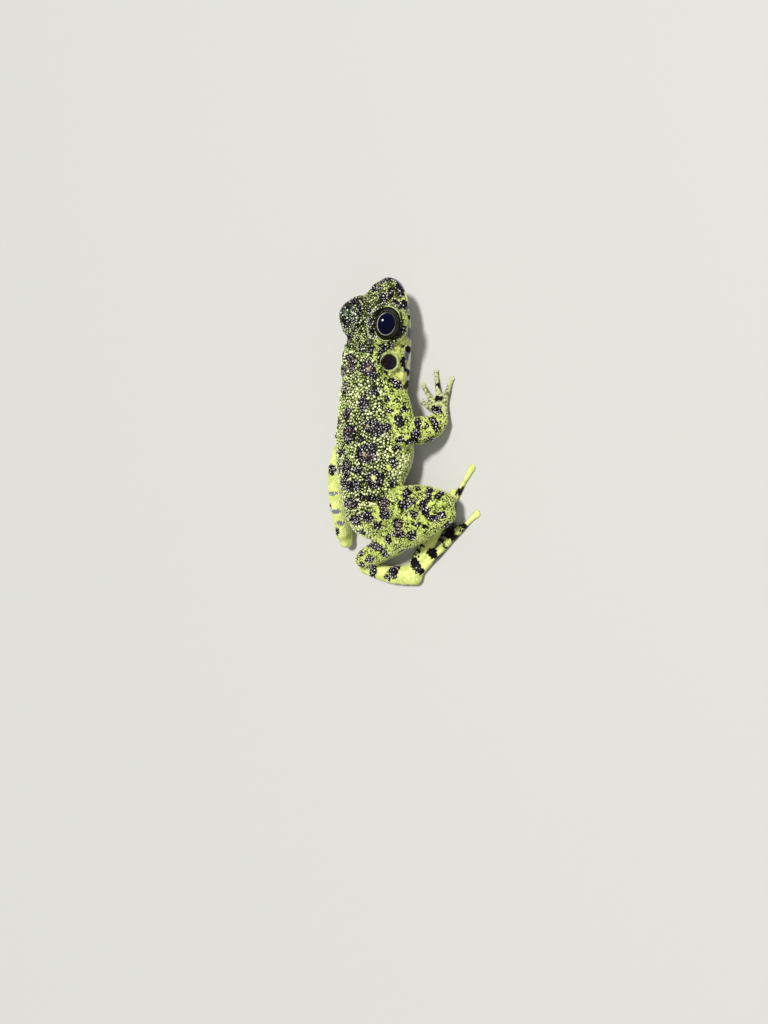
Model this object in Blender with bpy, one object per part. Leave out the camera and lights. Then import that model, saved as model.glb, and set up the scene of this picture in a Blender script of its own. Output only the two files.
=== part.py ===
"""A splendid rock frog, life size, resting on flat ground with its head turned a little to its right.

The frog faces +Y and stands on the plane z = 0, with the origin under its belly. Every length below is
in millimetres and is turned into metres where a mesh is made. The frog's right side is at +X.
"""

import math

import bmesh
import bpy
import numpy as np
from mathutils import Matrix, Vector

# Driving dimensions of the animal, in millimetres
MM = 0.001
GAP = 0.3
SNOUT_TO_VENT = 106.0
HEAD_TURN = 16.0  # degrees, towards the frog's right
HEAD_LENGTH = 41.0
HEAD_HALF_WIDTH = 16.4
SNOUT_TIP = (9.0, 59.0)
EYE_RADIUS = 6.7
LID_RADII = (8.0, 8.8, 7.9)
LID_SUNK = 0.4
EYE_SIDE = 8.0
EYE_BACK = 17.6
EYE_HEIGHT = 19.0
GAZE_UP = {"right": 50.0, "left": 28.0}  # degrees: the head leans to its left
GAZE_FORWARD = 12.0
LID_OPENING = (5.2, 8.2, 5.8)
LID_OPENING_OUT = 7.6
NOSTRIL_BACK = 5.6
NOSTRIL_RAISED = 58  # degrees round the section, as for the eardrum
NOSTRIL_RADII = (0.8, 1.0, 1.2)
EARDRUM_RADIUS = 3.0
EARDRUM_THICKNESS = 1.5
EARDRUM_BACK = 32.0
EARDRUM_RAISED = 37.0
EARDRUM_RIM = 1.1
EARDRUM_HOLLOW = 1.7
MOUTH_DEPTH = 0.8
MOUTH_END = 40.0
NECK = 43.0
FINGER_RADIUS = 1.25
TOE_RADIUS = 1.3
TOE_SPACING = 1.15
FINGER_SPACING = 1.9
WEB_THICKNESS = 0.7
WEB_LEVEL = 1.25

SIDES = {"right": 1, "left": -1}

# Ground points under the spine behind the head: distance behind the snout, x and y
SPINE = (
    (38.0, -0.5, 22.4), (50.0, -1.2, 11.0), (62.0, -0.9, -0.8), (73.0, -0.2, -11.8),
    (84.0, -1.0, -22.7), (95.0, -2.2, -33.6), (106.0, -2.8, -44.6),
)

# Sections of the head and trunk: distance behind the snout, half width, height of the widest line,
# rise of the back above it, drop of the belly below it, and squareness of the upper and lower halves
BODY_SECTIONS = (
    (0.0, 9.4, 12.4, 5.4, 3.4, 2.1, 2.0),
    (5.0, 9.8, 12.3, 6.8, 4.0, 2.2, 2.0),
    (11.0, 11.2, 12.0, 8.6, 4.6, 2.5, 2.1),
    (20.0, 14.0, 11.5, 10.6, 5.6, 2.4, 2.2),
    (31.0, 14.8, 10.8, 12.0, 6.8, 2.2, 2.7),
    (40.0, 14.4, 10.6, 13.4, 8.0, 2.1, 2.9),
    (50.0, 14.4, 11.6, 13.6, 9.4, 2.1, 2.4),
    (62.0, 16.2, 12.6, 13.2, 12.9, 2.1, 2.2),
    (71.0, 17.4, 13.0, 12.6, 13.5, 2.1, 2.3),
    (82.0, 14.6, 14.6, 10.6, 11.2, 2.1, 2.1),
    (94.0, 11.6, 13.6, 8.8, 8.0, 2.1, 2.0),
    (106.0, 9.4, 12.4, 6.4, 5.6, 2.0, 2.0),
)
SNOUT_ROUNDING = 7.5
VENT_ROUNDING = 9.0

# Limbs of the right side and of the left side: centre line points, each with its half width and half height
LIMBS = {
    "upper_arm_right": (
        (8.5, 17.0, 13.0, 5.4, 6.4),
        (13.0, 9.0, 14.0, 5.2, 5.8),
        (16.4, 2.0, 15.2, 4.6, 5.0),
        (17.2, -3.0, 15.6, 4.4, 4.6),
    ),
    "forearm_right": (
        (17.0, -1.6, 14.4, 4.6, 4.8),
        (20.8, -0.6, 11.2, 5.5, 5.8),
        (24.4, 0.8, 7.6, 5.0, 4.9),
        (26.6, 3.4, 4.6, 3.8, 3.3),
    ),
    "upper_arm_left": (
        (-7.0, 18.0, 12.0, 5.4, 6.2),
        (-14.0, 14.0, 10.2, 4.8, 5.4),
        (-17.6, 8.6, 8.6, 4.3, 4.6),
        (-19.0, 3.8, 8.2, 4.1, 4.2),
    ),
    "forearm_left": (
        (-20.0, 3.8, 6.4, 4.1, 4.0),
        (-19.6, 10.4, 5.4, 4.4, 4.4),
        (-17.8, 18.4, 4.6, 3.8, 3.7),
        (-16.0, 25.2, 3.5, 3.0, 2.7),
    ),
    "thigh_right": (
        (3.0, -35.4, 14.0, 7.6, 7.6),
        (12.0, -30.6, 13.8, 7.4, 8.0),
        (22.0, -27.8, 12.6, 6.6, 7.4),
        (31.6, -28.4, 11.4, 5.4, 6.2),
    ),
    "shin_right": (
        (32.4, -32.8, 10.8, 5.0, 5.8),
        (22.4, -37.6, 11.6, 6.4, 7.0),
        (10.6, -44.0, 11.0, 5.8, 6.2),
        (-8.6, -54.0, 8.6, 4.4, 4.8),
    ),
    "thigh_left": (
        (-4.0, -34.0, 13.0, 7.0, 7.2),
        (-10.0, -24.0, 11.0, 6.6, 6.8),
        (-15.0, -13.0, 8.4, 5.6, 5.8),
        (-17.6, -4.6, 6.8, 4.2, 4.6),
    ),
    "shin_left": (
        (-20.6, -4.6, 7.2, 4.2, 4.4),
        (-23.4, -14.0, 8.2, 4.8, 5.2),
        (-24.0, -27.0, 8.4, 4.6, 5.0),
        (-23.0, -44.6, 7.2, 3.2, 3.4),
    ),
}

# Tarsus of each foot: heel, middle and ball, with half widths and half heights
TARSI = {
    "right": ((-11.4, -58.0, 5.2, 3.6, 3.4), (1.5, -60.4, 3.6, 3.8, 3.1), (13.0, -59.0, 2.9, 4.8, 2.7)),
    "left": ((-23.4, -48.2, 4.8, 3.2, 3.0), (-25.2, -37.0, 3.3, 3.4, 2.8), (-26.0, -26.0, 2.6, 4.2, 2.4)),
}
# Toe tips, first toe to fifth, on the ground
TOE_TIPS = {
    "right": ((17.0, -42.6), (23.4, -33.6), (31.6, -22.0), (40.6, -12.0), (43.2, -30.6)),
    "left": ((-19.0, -10.6), (-20.6, -1.0), (-23.0, 12.4), (-27.6, 24.6), (-31.4, 4.4)),
}
# Finger tips, first finger to fourth, on the ground
FINGER_TIPS = {
    "right": ((14.4, 11.6), (14.6, 18.6), (21.4, 23.8), (29.4, 20.4)),
    "left": ((-5.0, 37.0), (-10.6, 43.0), (-18.4, 48.0), (-24.8, 40.0)),
}
WRISTS = {"right": (26.2, 4.6), "left": (-16.0, 25.2)}
WEB_REACH = 0.80
WEB_HOLLOW = 0.30

# Large warts of the back: distance behind the snout, angle from the midline in degrees, and size
WARTS = (
    (50.0, 16, 1.6), (52.0, -24, 1.6), (53.0, 44, 1.5),
    (60.0, 26, 2.2), (61.0, -12, 1.7), (63.0, -42, 1.6), (68.0, 10, 2.0), (71.0, -30, 1.8),
    (72.0, 36, 2.3), (78.0, 12, 1.6), (79.0, -18, 1.9), (80.0, 52, 1.6), (82.0, 34, 1.8),
    (87.0, -32, 1.8), (88.0, 8, 1.5), (92.0, -8, 1.6), (94.0, 30, 1.7), (98.0, -20, 1.5),
)

SKIN_COLOUR = (0.30, 0.36, 0.04, 1)
EYE_COLOUR = (0.01, 0.01, 0.012, 1)
EARDRUM_COLOUR = (0.06, 0.03, 0.03, 1)


def curve_through(knots, values, at):
    """Values at some distances along, read from a smooth curve through the knots."""
    knots, values, at = (np.asarray(x, float) for x in (knots, values, at))
    slopes = np.gradient(values, knots, axis=0)
    first = np.clip(np.searchsorted(knots, at, side="right") - 1, 0, len(knots) - 2)
    step = (knots[first + 1] - knots[first])[..., None]
    t = (at - knots[first])[..., None] / step
    low, high = values[first], values[first + 1]
    return (
        (2 * t**3 - 3 * t**2 + 1) * low
        + (t**3 - 2 * t**2 + t) * step * slopes[first]
        + (3 * t**2 - 2 * t**3) * high
        + (t**3 - t**2) * step * slopes[first + 1]
    )


def round_end(distance, rounding):
    """Share of the full size this far from a rounded end."""
    share = np.clip(distance / rounding, 0, 1)
    return np.sqrt(np.maximum(1 - (1 - share) ** 2, 0.003))


def material(name, colour, roughness):
    made = bpy.data.materials.new(name)
    made.use_nodes = True
    shader = made.node_tree.nodes["Principled BSDF"]
    shader.inputs["Base Color"].default_value = colour
    shader.inputs["Roughness"].default_value = roughness
    return made


def put_in_scene(name, mesh, finish):
    made = bpy.data.objects.new(name, mesh)
    made.data.materials.append(finish)
    parts.objects.link(made)
    return made


def loft(name, rings, finish):
    """One closed body through rings of the same count, its two ends filled."""
    made = bmesh.new()
    layers = [[made.verts.new(Vector(p) * MM) for p in ring] for ring in rings]
    count = len(layers[0])
    for near, far in zip(layers, layers[1:]):
        for i in range(count):
            j = (i + 1) % count
            made.faces.new((near[i], near[j], far[j], far[i]))
    made.faces.new(layers[0][::-1])
    made.faces.new(layers[-1])
    bmesh.ops.recalc_face_normals(made, faces=made.faces)
    mesh = bpy.data.meshes.new(name)
    made.to_mesh(mesh)
    made.free()
    mesh.shade_smooth()
    return put_in_scene(name, mesh, finish)


def ellipsoid(name, centre, radii, finish, turn=Matrix.Identity(3), segments=20, rings=12):
    made = bmesh.new()
    bmesh.ops.create_uvsphere(made, u_segments=segments, v_segments=rings, radius=1)
    place = Matrix.Translation(Vector(centre) * MM) @ turn.to_4x4() @ Matrix.Diagonal((*radii, 1 / MM)) * MM
    bmesh.ops.transform(made, matrix=place, verts=made.verts)
    mesh = bpy.data.meshes.new(name)
    made.to_mesh(mesh)
    made.free()
    mesh.shade_smooth()
    return put_in_scene(name, mesh, finish)


def settle(obj):
    """The object's modifiers made part of its mesh."""
    bpy.context.view_layer.update()
    seen = obj.evaluated_get(bpy.context.evaluated_depsgraph_get())
    mesh = bpy.data.meshes.new_from_object(seen)
    obj.modifiers.clear()
    obj.data = mesh


def remove(objects):
    for obj in list(objects):
        bpy.data.objects.remove(obj)


def keep_largest(obj):
    """Only the largest closed surface of the object stays."""
    made = bmesh.new()
    made.from_mesh(obj.data)
    left, shells = set(made.verts), []
    while left:
        shell, todo = set(), [next(iter(left))]
        while todo:
            vert = todo.pop()
            if vert in shell:
                continue
            shell.add(vert)
            todo.extend(edge.other_vert(vert) for edge in vert.link_edges)
        left -= shell
        shells.append(shell)
    shells.sort(key=len)
    bmesh.ops.delete(made, geom=[v for shell in shells[:-1] for v in shell], context="VERTS")
    made.to_mesh(obj.data)
    made.free()


def join(obj, pieces):
    """The pieces and the object as one closed body."""
    group = bpy.data.collections.new(obj.name + "_pieces")
    for piece in pieces:
        group.objects.link(piece)
        parts.objects.unlink(piece)
    bpy.context.scene.collection.children.link(group)
    union = obj.modifiers.new("join", "BOOLEAN")
    union.operation = "UNION"
    union.operand_type = "COLLECTION"
    union.collection = group
    union.solver = "MANIFOLD"
    settle(obj)
    remove(group.objects)
    bpy.data.collections.remove(group)
    keep_largest(obj)


def cut(obj, cutter):
    difference = obj.modifiers.new("cut", "BOOLEAN")
    difference.operation = "DIFFERENCE"
    difference.object = cutter
    difference.solver = "MANIFOLD"
    settle(obj)
    remove([cutter])
    keep_largest(obj)


def cut_clear(obj, neighbour, gap=GAP):
    """Takes from the object what its neighbour fills, and a thin gap round it."""
    cutter = bpy.data.objects.new(neighbour.name + "_swollen", neighbour.data.copy())
    parts.objects.link(cutter)
    swell = cutter.modifiers.new("swell", "DISPLACE")
    swell.mid_level = 0
    swell.strength = gap * MM
    settle(cutter)
    cut(obj, cutter)


def rest_on_ground(obj):
    """Takes off what lies below z = 0, which leaves a flat."""
    made = bmesh.new()
    bmesh.ops.create_cube(made, size=1)
    size = 2 * SNOUT_TO_VENT * MM
    bmesh.ops.transform(
        made,
        matrix=Matrix.Translation((0, 0, -size / 2)) @ Matrix.Scale(size, 4),
        verts=made.verts,
    )
    mesh = bpy.data.meshes.new("ground")
    made.to_mesh(mesh)
    made.free()
    ground = bpy.data.objects.new("ground", mesh)
    parts.objects.link(ground)
    cut(obj, ground)


# The line of the back, from snout to vent
def spine_point(along):
    """The ground point under the body's axis: straight through the head, then bending along the back."""
    turn = math.radians(HEAD_TURN)
    head = [(a, SNOUT_TIP[0] - a * math.sin(turn), SNOUT_TIP[1] - a * math.cos(turn)) for a in (0, 13, 26)]
    table = np.array((*head, *SPINE))
    return curve_through(table[:, 0], table[:, 1:], along)


def body_frame(along):
    """The axis point on the ground, and the directions to the right and forwards there."""
    ahead, behind = spine_point(max(along - 1, 0)), spine_point(min(along + 1, SNOUT_TO_VENT))
    forward = (ahead - behind) / np.linalg.norm(ahead - behind)
    return spine_point(along), np.array((forward[1], -forward[0])), forward


def head_point(side, back, height):
    """A point given from the snout tip, in the turned head's own directions."""
    point, right, _ = body_frame(back)
    return Vector((*(point + side * right), height))


def section_at(along):
    """Half width, level, rise, drop and the two squarenesses of the body here."""
    table = np.array(BODY_SECTIONS)
    width, level, rise, drop, top_square, low_square = curve_through(table[:, 0], table[:, 1:], along)
    front = round_end(along, SNOUT_ROUNDING)
    back = round_end(SNOUT_TO_VENT - along, VENT_ROUNDING)
    plan = round_end(along, HEAD_LENGTH)
    width = min(width, HEAD_HALF_WIDTH * plan) if along < NECK else width
    return width * back, level, rise * front * back, drop * front * back, top_square, low_square


def body_point(along, angle, section=None, lift=0.0):
    """A point of the body's surface. The angle is 0 at the right and 90 degrees on top of the back."""
    width, level, rise, drop, top_square, low_square = section or section_at(along)
    point, right, _ = body_frame(along)
    c, s = math.cos(angle), math.sin(angle)
    square = top_square if s >= 0 else low_square
    side = math.copysign(abs(c) ** (2 / square), c) * (width + lift)
    height = math.copysign(abs(s) ** (2 / square), s) * ((rise if s >= 0 else drop) + lift)
    return Vector((*(point + side * right), level + height))


def body_ring(along, offset=0.0):
    """One ring of the skin, with a groove along the mouth on the head."""
    quarter = (0, 4, 14, 27, 40, 53, 66, 78)
    degrees = [*quarter, *(180 - a for a in (90, *quarter[:0:-1])), 180, *(180 + a for a in quarter[1:])]
    degrees += [270, *(360 - a for a in quarter[:0:-1])]
    section = section_at(along)
    groove = MOUTH_DEPTH * float(np.clip((MOUTH_END - along) / 4, 0, 1)) * float(round_end(along, 4))
    _, _, forward = body_frame(along)
    ring = []
    for degree in degrees:
        lift = -groove if degree in (0, 180) else 0.0
        ring.append(body_point(along, math.radians(degree), section, lift) + Vector((*(forward * offset), 0)))
    return ring


def make_body():
    """The head and the trunk, parted by a thin cut at the neck."""
    snout = [0, 0.5, 1.5, 3, 5, 7.5]
    head_at = [*snout, *np.linspace(10.5, NECK, 12)]
    vent = [97.5, 101, 103.5, 105.2, SNOUT_TO_VENT]
    trunk_at = [*np.linspace(NECK, 94, 14), *vent]
    head = loft("head", [body_ring(a) for a in head_at[:-1]] + [body_ring(NECK, GAP / 2)], skin)
    torso = loft("torso", [body_ring(NECK, -GAP / 2)] + [body_ring(a) for a in trunk_at[1:]], skin)
    return head, torso


def head_turn():
    return Matrix.Rotation(-math.radians(HEAD_TURN), 3, "Z")


def gaze(side):
    sign, up, forward = SIDES[side], math.radians(GAZE_UP[side]), math.radians(GAZE_FORWARD)
    own = Vector((sign * math.cos(up) * math.cos(forward), math.cos(up) * math.sin(forward), math.sin(up)))
    return head_turn() @ own


def make_eye(side, head):
    """An eyeball, and the lids that stand up from the head round it."""
    sign = SIDES[side]
    centre = head_point(sign * EYE_SIDE, EYE_BACK, EYE_HEIGHT)
    look = gaze(side)
    lids = ellipsoid("lids", centre - look * LID_SUNK, LID_RADII, skin, head_turn(), 24, 14)
    join(head, [lids])
    eye = ellipsoid("eye_" + side, centre, (EYE_RADIUS,) * 3, eye_finish, head_turn(), 18, 10)
    opening_turn = look.to_track_quat("X", "Z").to_matrix()
    opening = ellipsoid("opening", centre + look * LID_OPENING_OUT, LID_OPENING, skin, opening_turn, 26, 14)
    cut(head, opening)
    cut_clear(head, eye)
    return eye


def make_nostril(side, head):
    sign = SIDES[side]
    angle = math.radians(NOSTRIL_RAISED if sign > 0 else 180 - NOSTRIL_RAISED)
    centre = body_point(NOSTRIL_BACK, angle, lift=0.1)
    cut(head, ellipsoid("nostril", centre, NOSTRIL_RADII, skin, head_turn(), 8, 6))


def make_eardrum(side, head):
    """A round eardrum set flush into the side of the head, with its raised rim."""
    sign = SIDES[side]
    angle = math.radians(EARDRUM_RAISED if sign > 0 else 180 - EARDRUM_RAISED)
    centre = body_point(EARDRUM_BACK, angle)
    across = body_point(EARDRUM_BACK, angle + 0.15) - body_point(EARDRUM_BACK, angle - 0.15)
    ahead = body_point(EARDRUM_BACK - 2, angle) - body_point(EARDRUM_BACK + 2, angle)
    outward = across.cross(ahead).normalized()
    outward *= math.copysign(1, outward.x * sign)
    turn = outward.to_track_quat("Z", "Y").to_matrix()
    discs = (
        ("rim", -0.2, EARDRUM_RADIUS + EARDRUM_RIM, EARDRUM_RIM, skin),
        ("hollow", 0.7, EARDRUM_RADIUS + GAP, EARDRUM_HOLLOW, skin),
        ("eardrum_" + side, -0.25, EARDRUM_RADIUS, EARDRUM_THICKNESS / 2, drum_finish),
    )
    rim, hollow, drum = (
        ellipsoid(name, centre + outward * out, (radius, radius, half), finish, turn, 18, 6)
        for name, out, radius, half, finish in discs
    )
    join(head, [rim])
    cut(head, hollow)
    cut_clear(head, drum)
    return drum


def make_ear_fold(side, head):
    """The fold that runs from the eye over the eardrum and down behind the mouth."""
    sign = SIDES[side]
    route = ((25.0, 60), (30.5, 62), (35.8, 54), (38.6, 36), (40.4, 8))
    points = [body_point(a, math.radians(d if sign > 0 else 180 - d)) for a, d in route]
    sizes = (0.5, 1.0, 1.15, 1.0, 0.5)
    fold = limb("fold", [(*p, r, r) for p, r in zip(points, sizes)], skin, sides=8, steps=9)
    join(head, [fold])


def limb(name, stations, finish, sides=13, steps=11, cap=(10, 38, 64)):
    """A rounded limb along smooth points, each with its half width and half height."""
    table = np.array(stations, float)
    run = np.concatenate(([0], np.cumsum(np.linalg.norm(np.diff(table[:, :3], axis=0), axis=1))))
    ends = table[0, 3:].mean(), table[-1, 3:].mean()
    reach = np.linspace(0, 1, steps)
    inner = run[-1] * reach
    caps = 1 - np.cos(np.radians(cap))
    before = -ends[0] + ends[0] * caps
    after = run[-1] + ends[1] - ends[1] * caps[::-1]
    at = np.concatenate((before, inner, after))
    held = np.clip(at, 0, run[-1])
    values = curve_through(run, table, held)
    ahead = curve_through(run, table[:, :3], np.clip(held + 0.2, 0, run[-1]))
    behind = curve_through(run, table[:, :3], np.clip(held - 0.2, 0, run[-1]))
    rings = []
    for distance, kept, value, tangent in zip(at, held, values, ahead - behind):
        tangent = Vector(tangent).normalized()
        side = tangent.cross(Vector((0, 0, 1))).normalized()
        up = side.cross(tangent)
        beyond = distance - kept
        end = ends[0] if beyond < 0 else ends[1]
        share = math.sqrt(max(1 - (beyond / end) ** 2, 0.004))
        centre = Vector(value[:3]) + tangent * beyond
        wide, high = value[3] * share, value[4] * share
        turns = [2 * math.pi * i / sides for i in range(sides)]
        rings.append([centre + side * math.cos(a) * wide + up * math.sin(a) * high for a in turns])
    return loft(name, rings, finish)


def digit(name, base, tip, radius, finish, arch=1.2):
    """A finger or toe with swollen joints and a flat disc at its tip, laid along the ground."""
    base, tip = Vector(base), Vector((*tip, 0))
    shape = (
        (0.00, 1.30, 1.25, 0.0), (0.22, 0.95, 1.00, 0.6), (0.40, 1.16, 1.12, 1.0), (0.54, 0.88, 0.92, 0.9),
        (0.68, 1.04, 1.02, 0.6), (0.80, 0.78, 0.80, 0.3), (0.89, 1.25, 0.70, 0.0), (0.95, 1.30, 0.55, 0.0),
    )
    stations = []
    for share, wide, high, lift in shape:
        point = base.lerp(tip, share)
        level = base.z * (1 - share) ** 2 + radius * high * 0.85 + arch * lift * (1 - share)
        stations.append((point.x, point.y, level, radius * wide, radius * high))
    return limb(name, stations, finish, sides=6, steps=9, cap=(12, 52))


def web(name, near, far, reach, finish):
    """A thin membrane between two toes, with a hollow free edge. Toes are given by their base and tip."""
    across, along = 4, 4
    top, low = [], []
    for i in range(along + 1):
        for j in range(across + 1):
            v = j / across
            share = (i / along) * reach * (1 - WEB_HOLLOW * 4 * v * (1 - v))
            ends = [Vector(a).lerp(Vector(b), 0.12 + 0.88 * share) for a, b in (near, far)]
            point = ends[0].lerp(ends[1], v)
            level = WEB_LEVEL + 0.5 * (1 - share) + 0.12 * math.cos(2 * math.pi * v)
            top.append(Vector((point.x, point.y, level + WEB_THICKNESS / 2)))
            low.append(Vector((point.x, point.y, level - WEB_THICKNESS / 2)))
    made = bmesh.new()
    top_verts = [made.verts.new(p * MM) for p in top]
    low_verts = [made.verts.new(p * MM) for p in low]
    row = across + 1
    for i in range(along):
        for j in range(across):
            a, b, c, d = i * row + j, i * row + j + 1, (i + 1) * row + j + 1, (i + 1) * row + j
            for half in ((a, b, c), (a, c, d)):
                made.faces.new([top_verts[k] for k in half])
                made.faces.new([low_verts[k] for k in half[::-1]])
    rim = [j for j in range(row)] + [i * row + across for i in range(1, along + 1)]
    rim += [along * row + j for j in range(across - 1, -1, -1)] + [i * row for i in range(along - 1, 0, -1)]
    for a, b in zip(rim, rim[1:] + rim[:1]):
        made.faces.new((top_verts[a], low_verts[a], low_verts[b], top_verts[b]))
    bmesh.ops.recalc_face_normals(made, faces=made.faces)
    mesh = bpy.data.meshes.new(name)
    made.to_mesh(mesh)
    made.free()
    return put_in_scene(name, mesh, finish)


def make_foot(side):
    """The tarsus, five toes and the webs between them, as one body."""
    tarsus = TARSI[side]
    foot = limb("foot_" + side, tarsus, skin, sides=12, steps=8)
    ball = Vector(tarsus[-1][:3])
    back = (Vector((*tarsus[-2][:2], ball.z)) - ball).normalized()
    tips = TOE_TIPS[side]
    middle = (Vector((*tips[3], 0)) - Vector((ball.x, ball.y, 0))).normalized()
    spread = Vector((middle.y, -middle.x, 0)) * SIDES[side]
    toes = []
    for i, tip in enumerate(tips):
        base = Vector((ball.x, ball.y, 0.9)) + spread * (i - 2) * TOE_SPACING + back * 1.5
        toes.append((base, Vector((*tip, 0.9))))
    pieces = [digit(f"toe_{i}", base, tip[:2], TOE_RADIUS, skin) for i, (base, tip) in enumerate(toes)]
    for i, (near, far) in enumerate(zip(toes, toes[1:])):
        pieces.append(web(f"web_{i}", near, far, WEB_REACH, skin))
    join(foot, pieces)
    rest_on_ground(foot)
    return foot


def make_hand(side):
    """The palm and four unwebbed fingers, as one body."""
    wrist = Vector((*WRISTS[side], 0))
    tips = [Vector((*tip, 0)) for tip in FINGER_TIPS[side]]
    towards = (sum(tips, Vector()) / len(tips) - wrist).normalized()
    spread = Vector((towards.y, -towards.x, 0)) * SIDES[side]
    heel = wrist - towards * 1.5
    knuckles = wrist + towards * 6.5
    palm = (wrist + towards * 3).xy
    stations = ((*heel.xy, 3.6, 3.0, 2.6), (*palm, 2.5, 3.9, 2.3), (*knuckles.xy, 1.9, 4.2, 1.8))
    hand = limb("hand_" + side, stations, skin, sides=12, steps=6)
    pieces = []
    for i, tip in enumerate(tips):
        base = wrist + towards * 4.5 + spread * (i - 1.5) * FINGER_SPACING + Vector((0, 0, 0.8))
        pieces.append(digit(f"finger_{i}", base, tip.xy, FINGER_RADIUS, skin))
    join(hand, pieces)
    rest_on_ground(hand)
    return hand


def add_warts(torso):
    """The large warts of the back, low domes sunk into the skin."""
    domes = []
    for i, (along, lean, size) in enumerate(WARTS):
        angle = math.radians(90 - lean)
        centre = body_point(along, angle, lift=-0.3 * size)
        domes.append(ellipsoid(f"wart_{i}", centre, (size, size, size * 0.8), skin, segments=7, rings=5))
    join(torso, domes)


def give_origin(obj, point):
    """Moves an object's origin to its joint, and leaves its shape where it is."""
    place = Vector(point) * MM
    obj.data.transform(Matrix.Translation(-place))
    obj.location = place


def corners(obj):
    points = np.array([v.co for v in obj.data.vertices])
    return points.min(axis=0), points.max(axis=0)


def middle_of(obj):
    low, high = corners(obj)
    return (low + high) / 2 / MM


def middle_of_footprint(objects):
    """The middle of the whole frog's box, at ground level, in metres."""
    lows, highs = zip(*(corners(obj) for obj in objects))
    middle = (np.min(lows, axis=0) + np.max(highs, axis=0)) / 2
    return Vector((middle[0], middle[1], 0))


def make_frog():
    head, torso = make_body()
    nodes = {"head": head, "torso": torso}
    for side in SIDES:
        nodes["eye_" + side] = make_eye(side, head)
        make_ear_fold(side, head)
        nodes["eardrum_" + side] = make_eardrum(side, head)
        make_nostril(side, head)
    add_warts(torso)
    rest_on_ground(torso)
    for side in SIDES:
        for upper, lower, end in (("upper_arm", "forearm", "hand"), ("thigh", "shin", "foot")):
            first = limb(f"{upper}_{side}", LIMBS[f"{upper}_{side}"], skin)
            second = limb(f"{lower}_{side}", LIMBS[f"{lower}_{side}"], skin)
            third = make_hand(side) if end == "hand" else make_foot(side)
            cut_clear(first, torso)
            cut_clear(first, head)
            cut_clear(second, torso)
            cut_clear(second, first)
            cut_clear(second, third)
            nodes.update({piece.name: piece for piece in (first, second, third)})
    return nodes


bpy.ops.object.select_all(action="DESELECT")
for old in list(bpy.data.objects):
    bpy.data.objects.remove(old)
parts = bpy.data.collections.new("splendid_rock_frog")
bpy.context.scene.collection.children.link(parts)
skin = material("frog_skin", SKIN_COLOUR, 0.45)
eye_finish = material("eye", EYE_COLOUR, 0.08)
drum_finish = material("eardrum", EARDRUM_COLOUR, 0.3)
nodes = make_frog()
origins = {
    "head": head_point(0, NECK, 12), "torso": (0, 0, 0),
    "upper_arm_right": (8.5, 17.0, 13.0), "forearm_right": (17.0, -2.0, 15.0), "hand_right": (26.2, 4.6, 4.0),
    "upper_arm_left": (-7.0, 18.0, 12.0), "forearm_left": (-20.0, 3.8, 7.0), "hand_left": (-16.0, 25.2, 3.5),
    "thigh_right": (3.0, -35.4, 14.0), "shin_right": (32.0, -30.6, 11.0), "foot_right": (-11.4, -57.0, 6.0),
    "thigh_left": (-4.0, -34.0, 13.0), "shin_left": (-19.0, -4.6, 7.0), "foot_left": (-23.4, -47.0, 6.0),
}
centre = middle_of_footprint(nodes.values())
for name, obj in nodes.items():
    obj.data.transform(Matrix.Translation(-centre))
    give_origin(obj, Vector(origins[name]) - centre / MM if name in origins else middle_of(obj))
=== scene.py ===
# A splendid rock frog, life size, resting on a plain floor: skin, granules, eyes, eardrums, light and camera
import math

import bmesh
import bpy
import numpy as np
from mathutils import Matrix, Vector
from mathutils.bvhtree import BVHTree


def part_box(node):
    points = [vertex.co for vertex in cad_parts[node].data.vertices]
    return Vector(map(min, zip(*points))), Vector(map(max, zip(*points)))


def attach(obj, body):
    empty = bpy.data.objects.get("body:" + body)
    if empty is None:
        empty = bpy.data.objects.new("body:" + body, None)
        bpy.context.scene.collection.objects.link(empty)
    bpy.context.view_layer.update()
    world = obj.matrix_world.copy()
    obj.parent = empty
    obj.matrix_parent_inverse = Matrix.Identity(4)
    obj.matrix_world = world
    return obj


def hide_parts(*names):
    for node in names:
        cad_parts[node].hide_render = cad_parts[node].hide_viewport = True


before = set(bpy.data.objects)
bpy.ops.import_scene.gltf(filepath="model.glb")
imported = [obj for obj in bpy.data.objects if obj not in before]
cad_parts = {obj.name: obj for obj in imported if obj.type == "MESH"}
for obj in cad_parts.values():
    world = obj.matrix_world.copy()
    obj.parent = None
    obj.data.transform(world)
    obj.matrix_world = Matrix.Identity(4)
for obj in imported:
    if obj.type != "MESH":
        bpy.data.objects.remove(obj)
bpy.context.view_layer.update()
mm = 0.001
sides = {"right": 1, "left": -1}
print("frame loaded")


# Camera

view = {
    "azimuth": 8.0,  # degrees from +X towards +Y
    "elevation": 50.0,
    "distance": 0.300,
    "lookAt": (-0.00521, 0.00251, 0.012),
    "lookAtPixel": (375.5, 430.0),  # where that point shows in the picture
    "picture": (768, 1024),
    "lens": 26.0,
    "sensor": 36.0,
    "nearest": 0.01,
}


def cameraAxes():
    turn, rise = math.radians(view["azimuth"]), math.radians(view["elevation"])
    back = Vector((math.cos(rise) * math.cos(turn), math.cos(rise) * math.sin(turn), math.sin(rise)))
    top = Vector((0, 1, 0))
    top = (top - back * top.dot(back)).normalized()
    return top.cross(back).normalized(), top, back


def lineOfSight(x, y):
    # the direction from the camera through a pixel of the picture
    wide, high = view["picture"]
    focal = view["lens"] / view["sensor"] * max(wide, high)
    right, top, back = cameraAxes()
    return (right * ((x - wide / 2) / focal) + top * ((high / 2 - y) / focal) - back).normalized()


def cameraPlace():
    back = cameraAxes()[2]
    towards = lineOfSight(*view["lookAtPixel"])
    return Vector(view["lookAt"]) - towards * (view["distance"] / -towards.dot(back))


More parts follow.
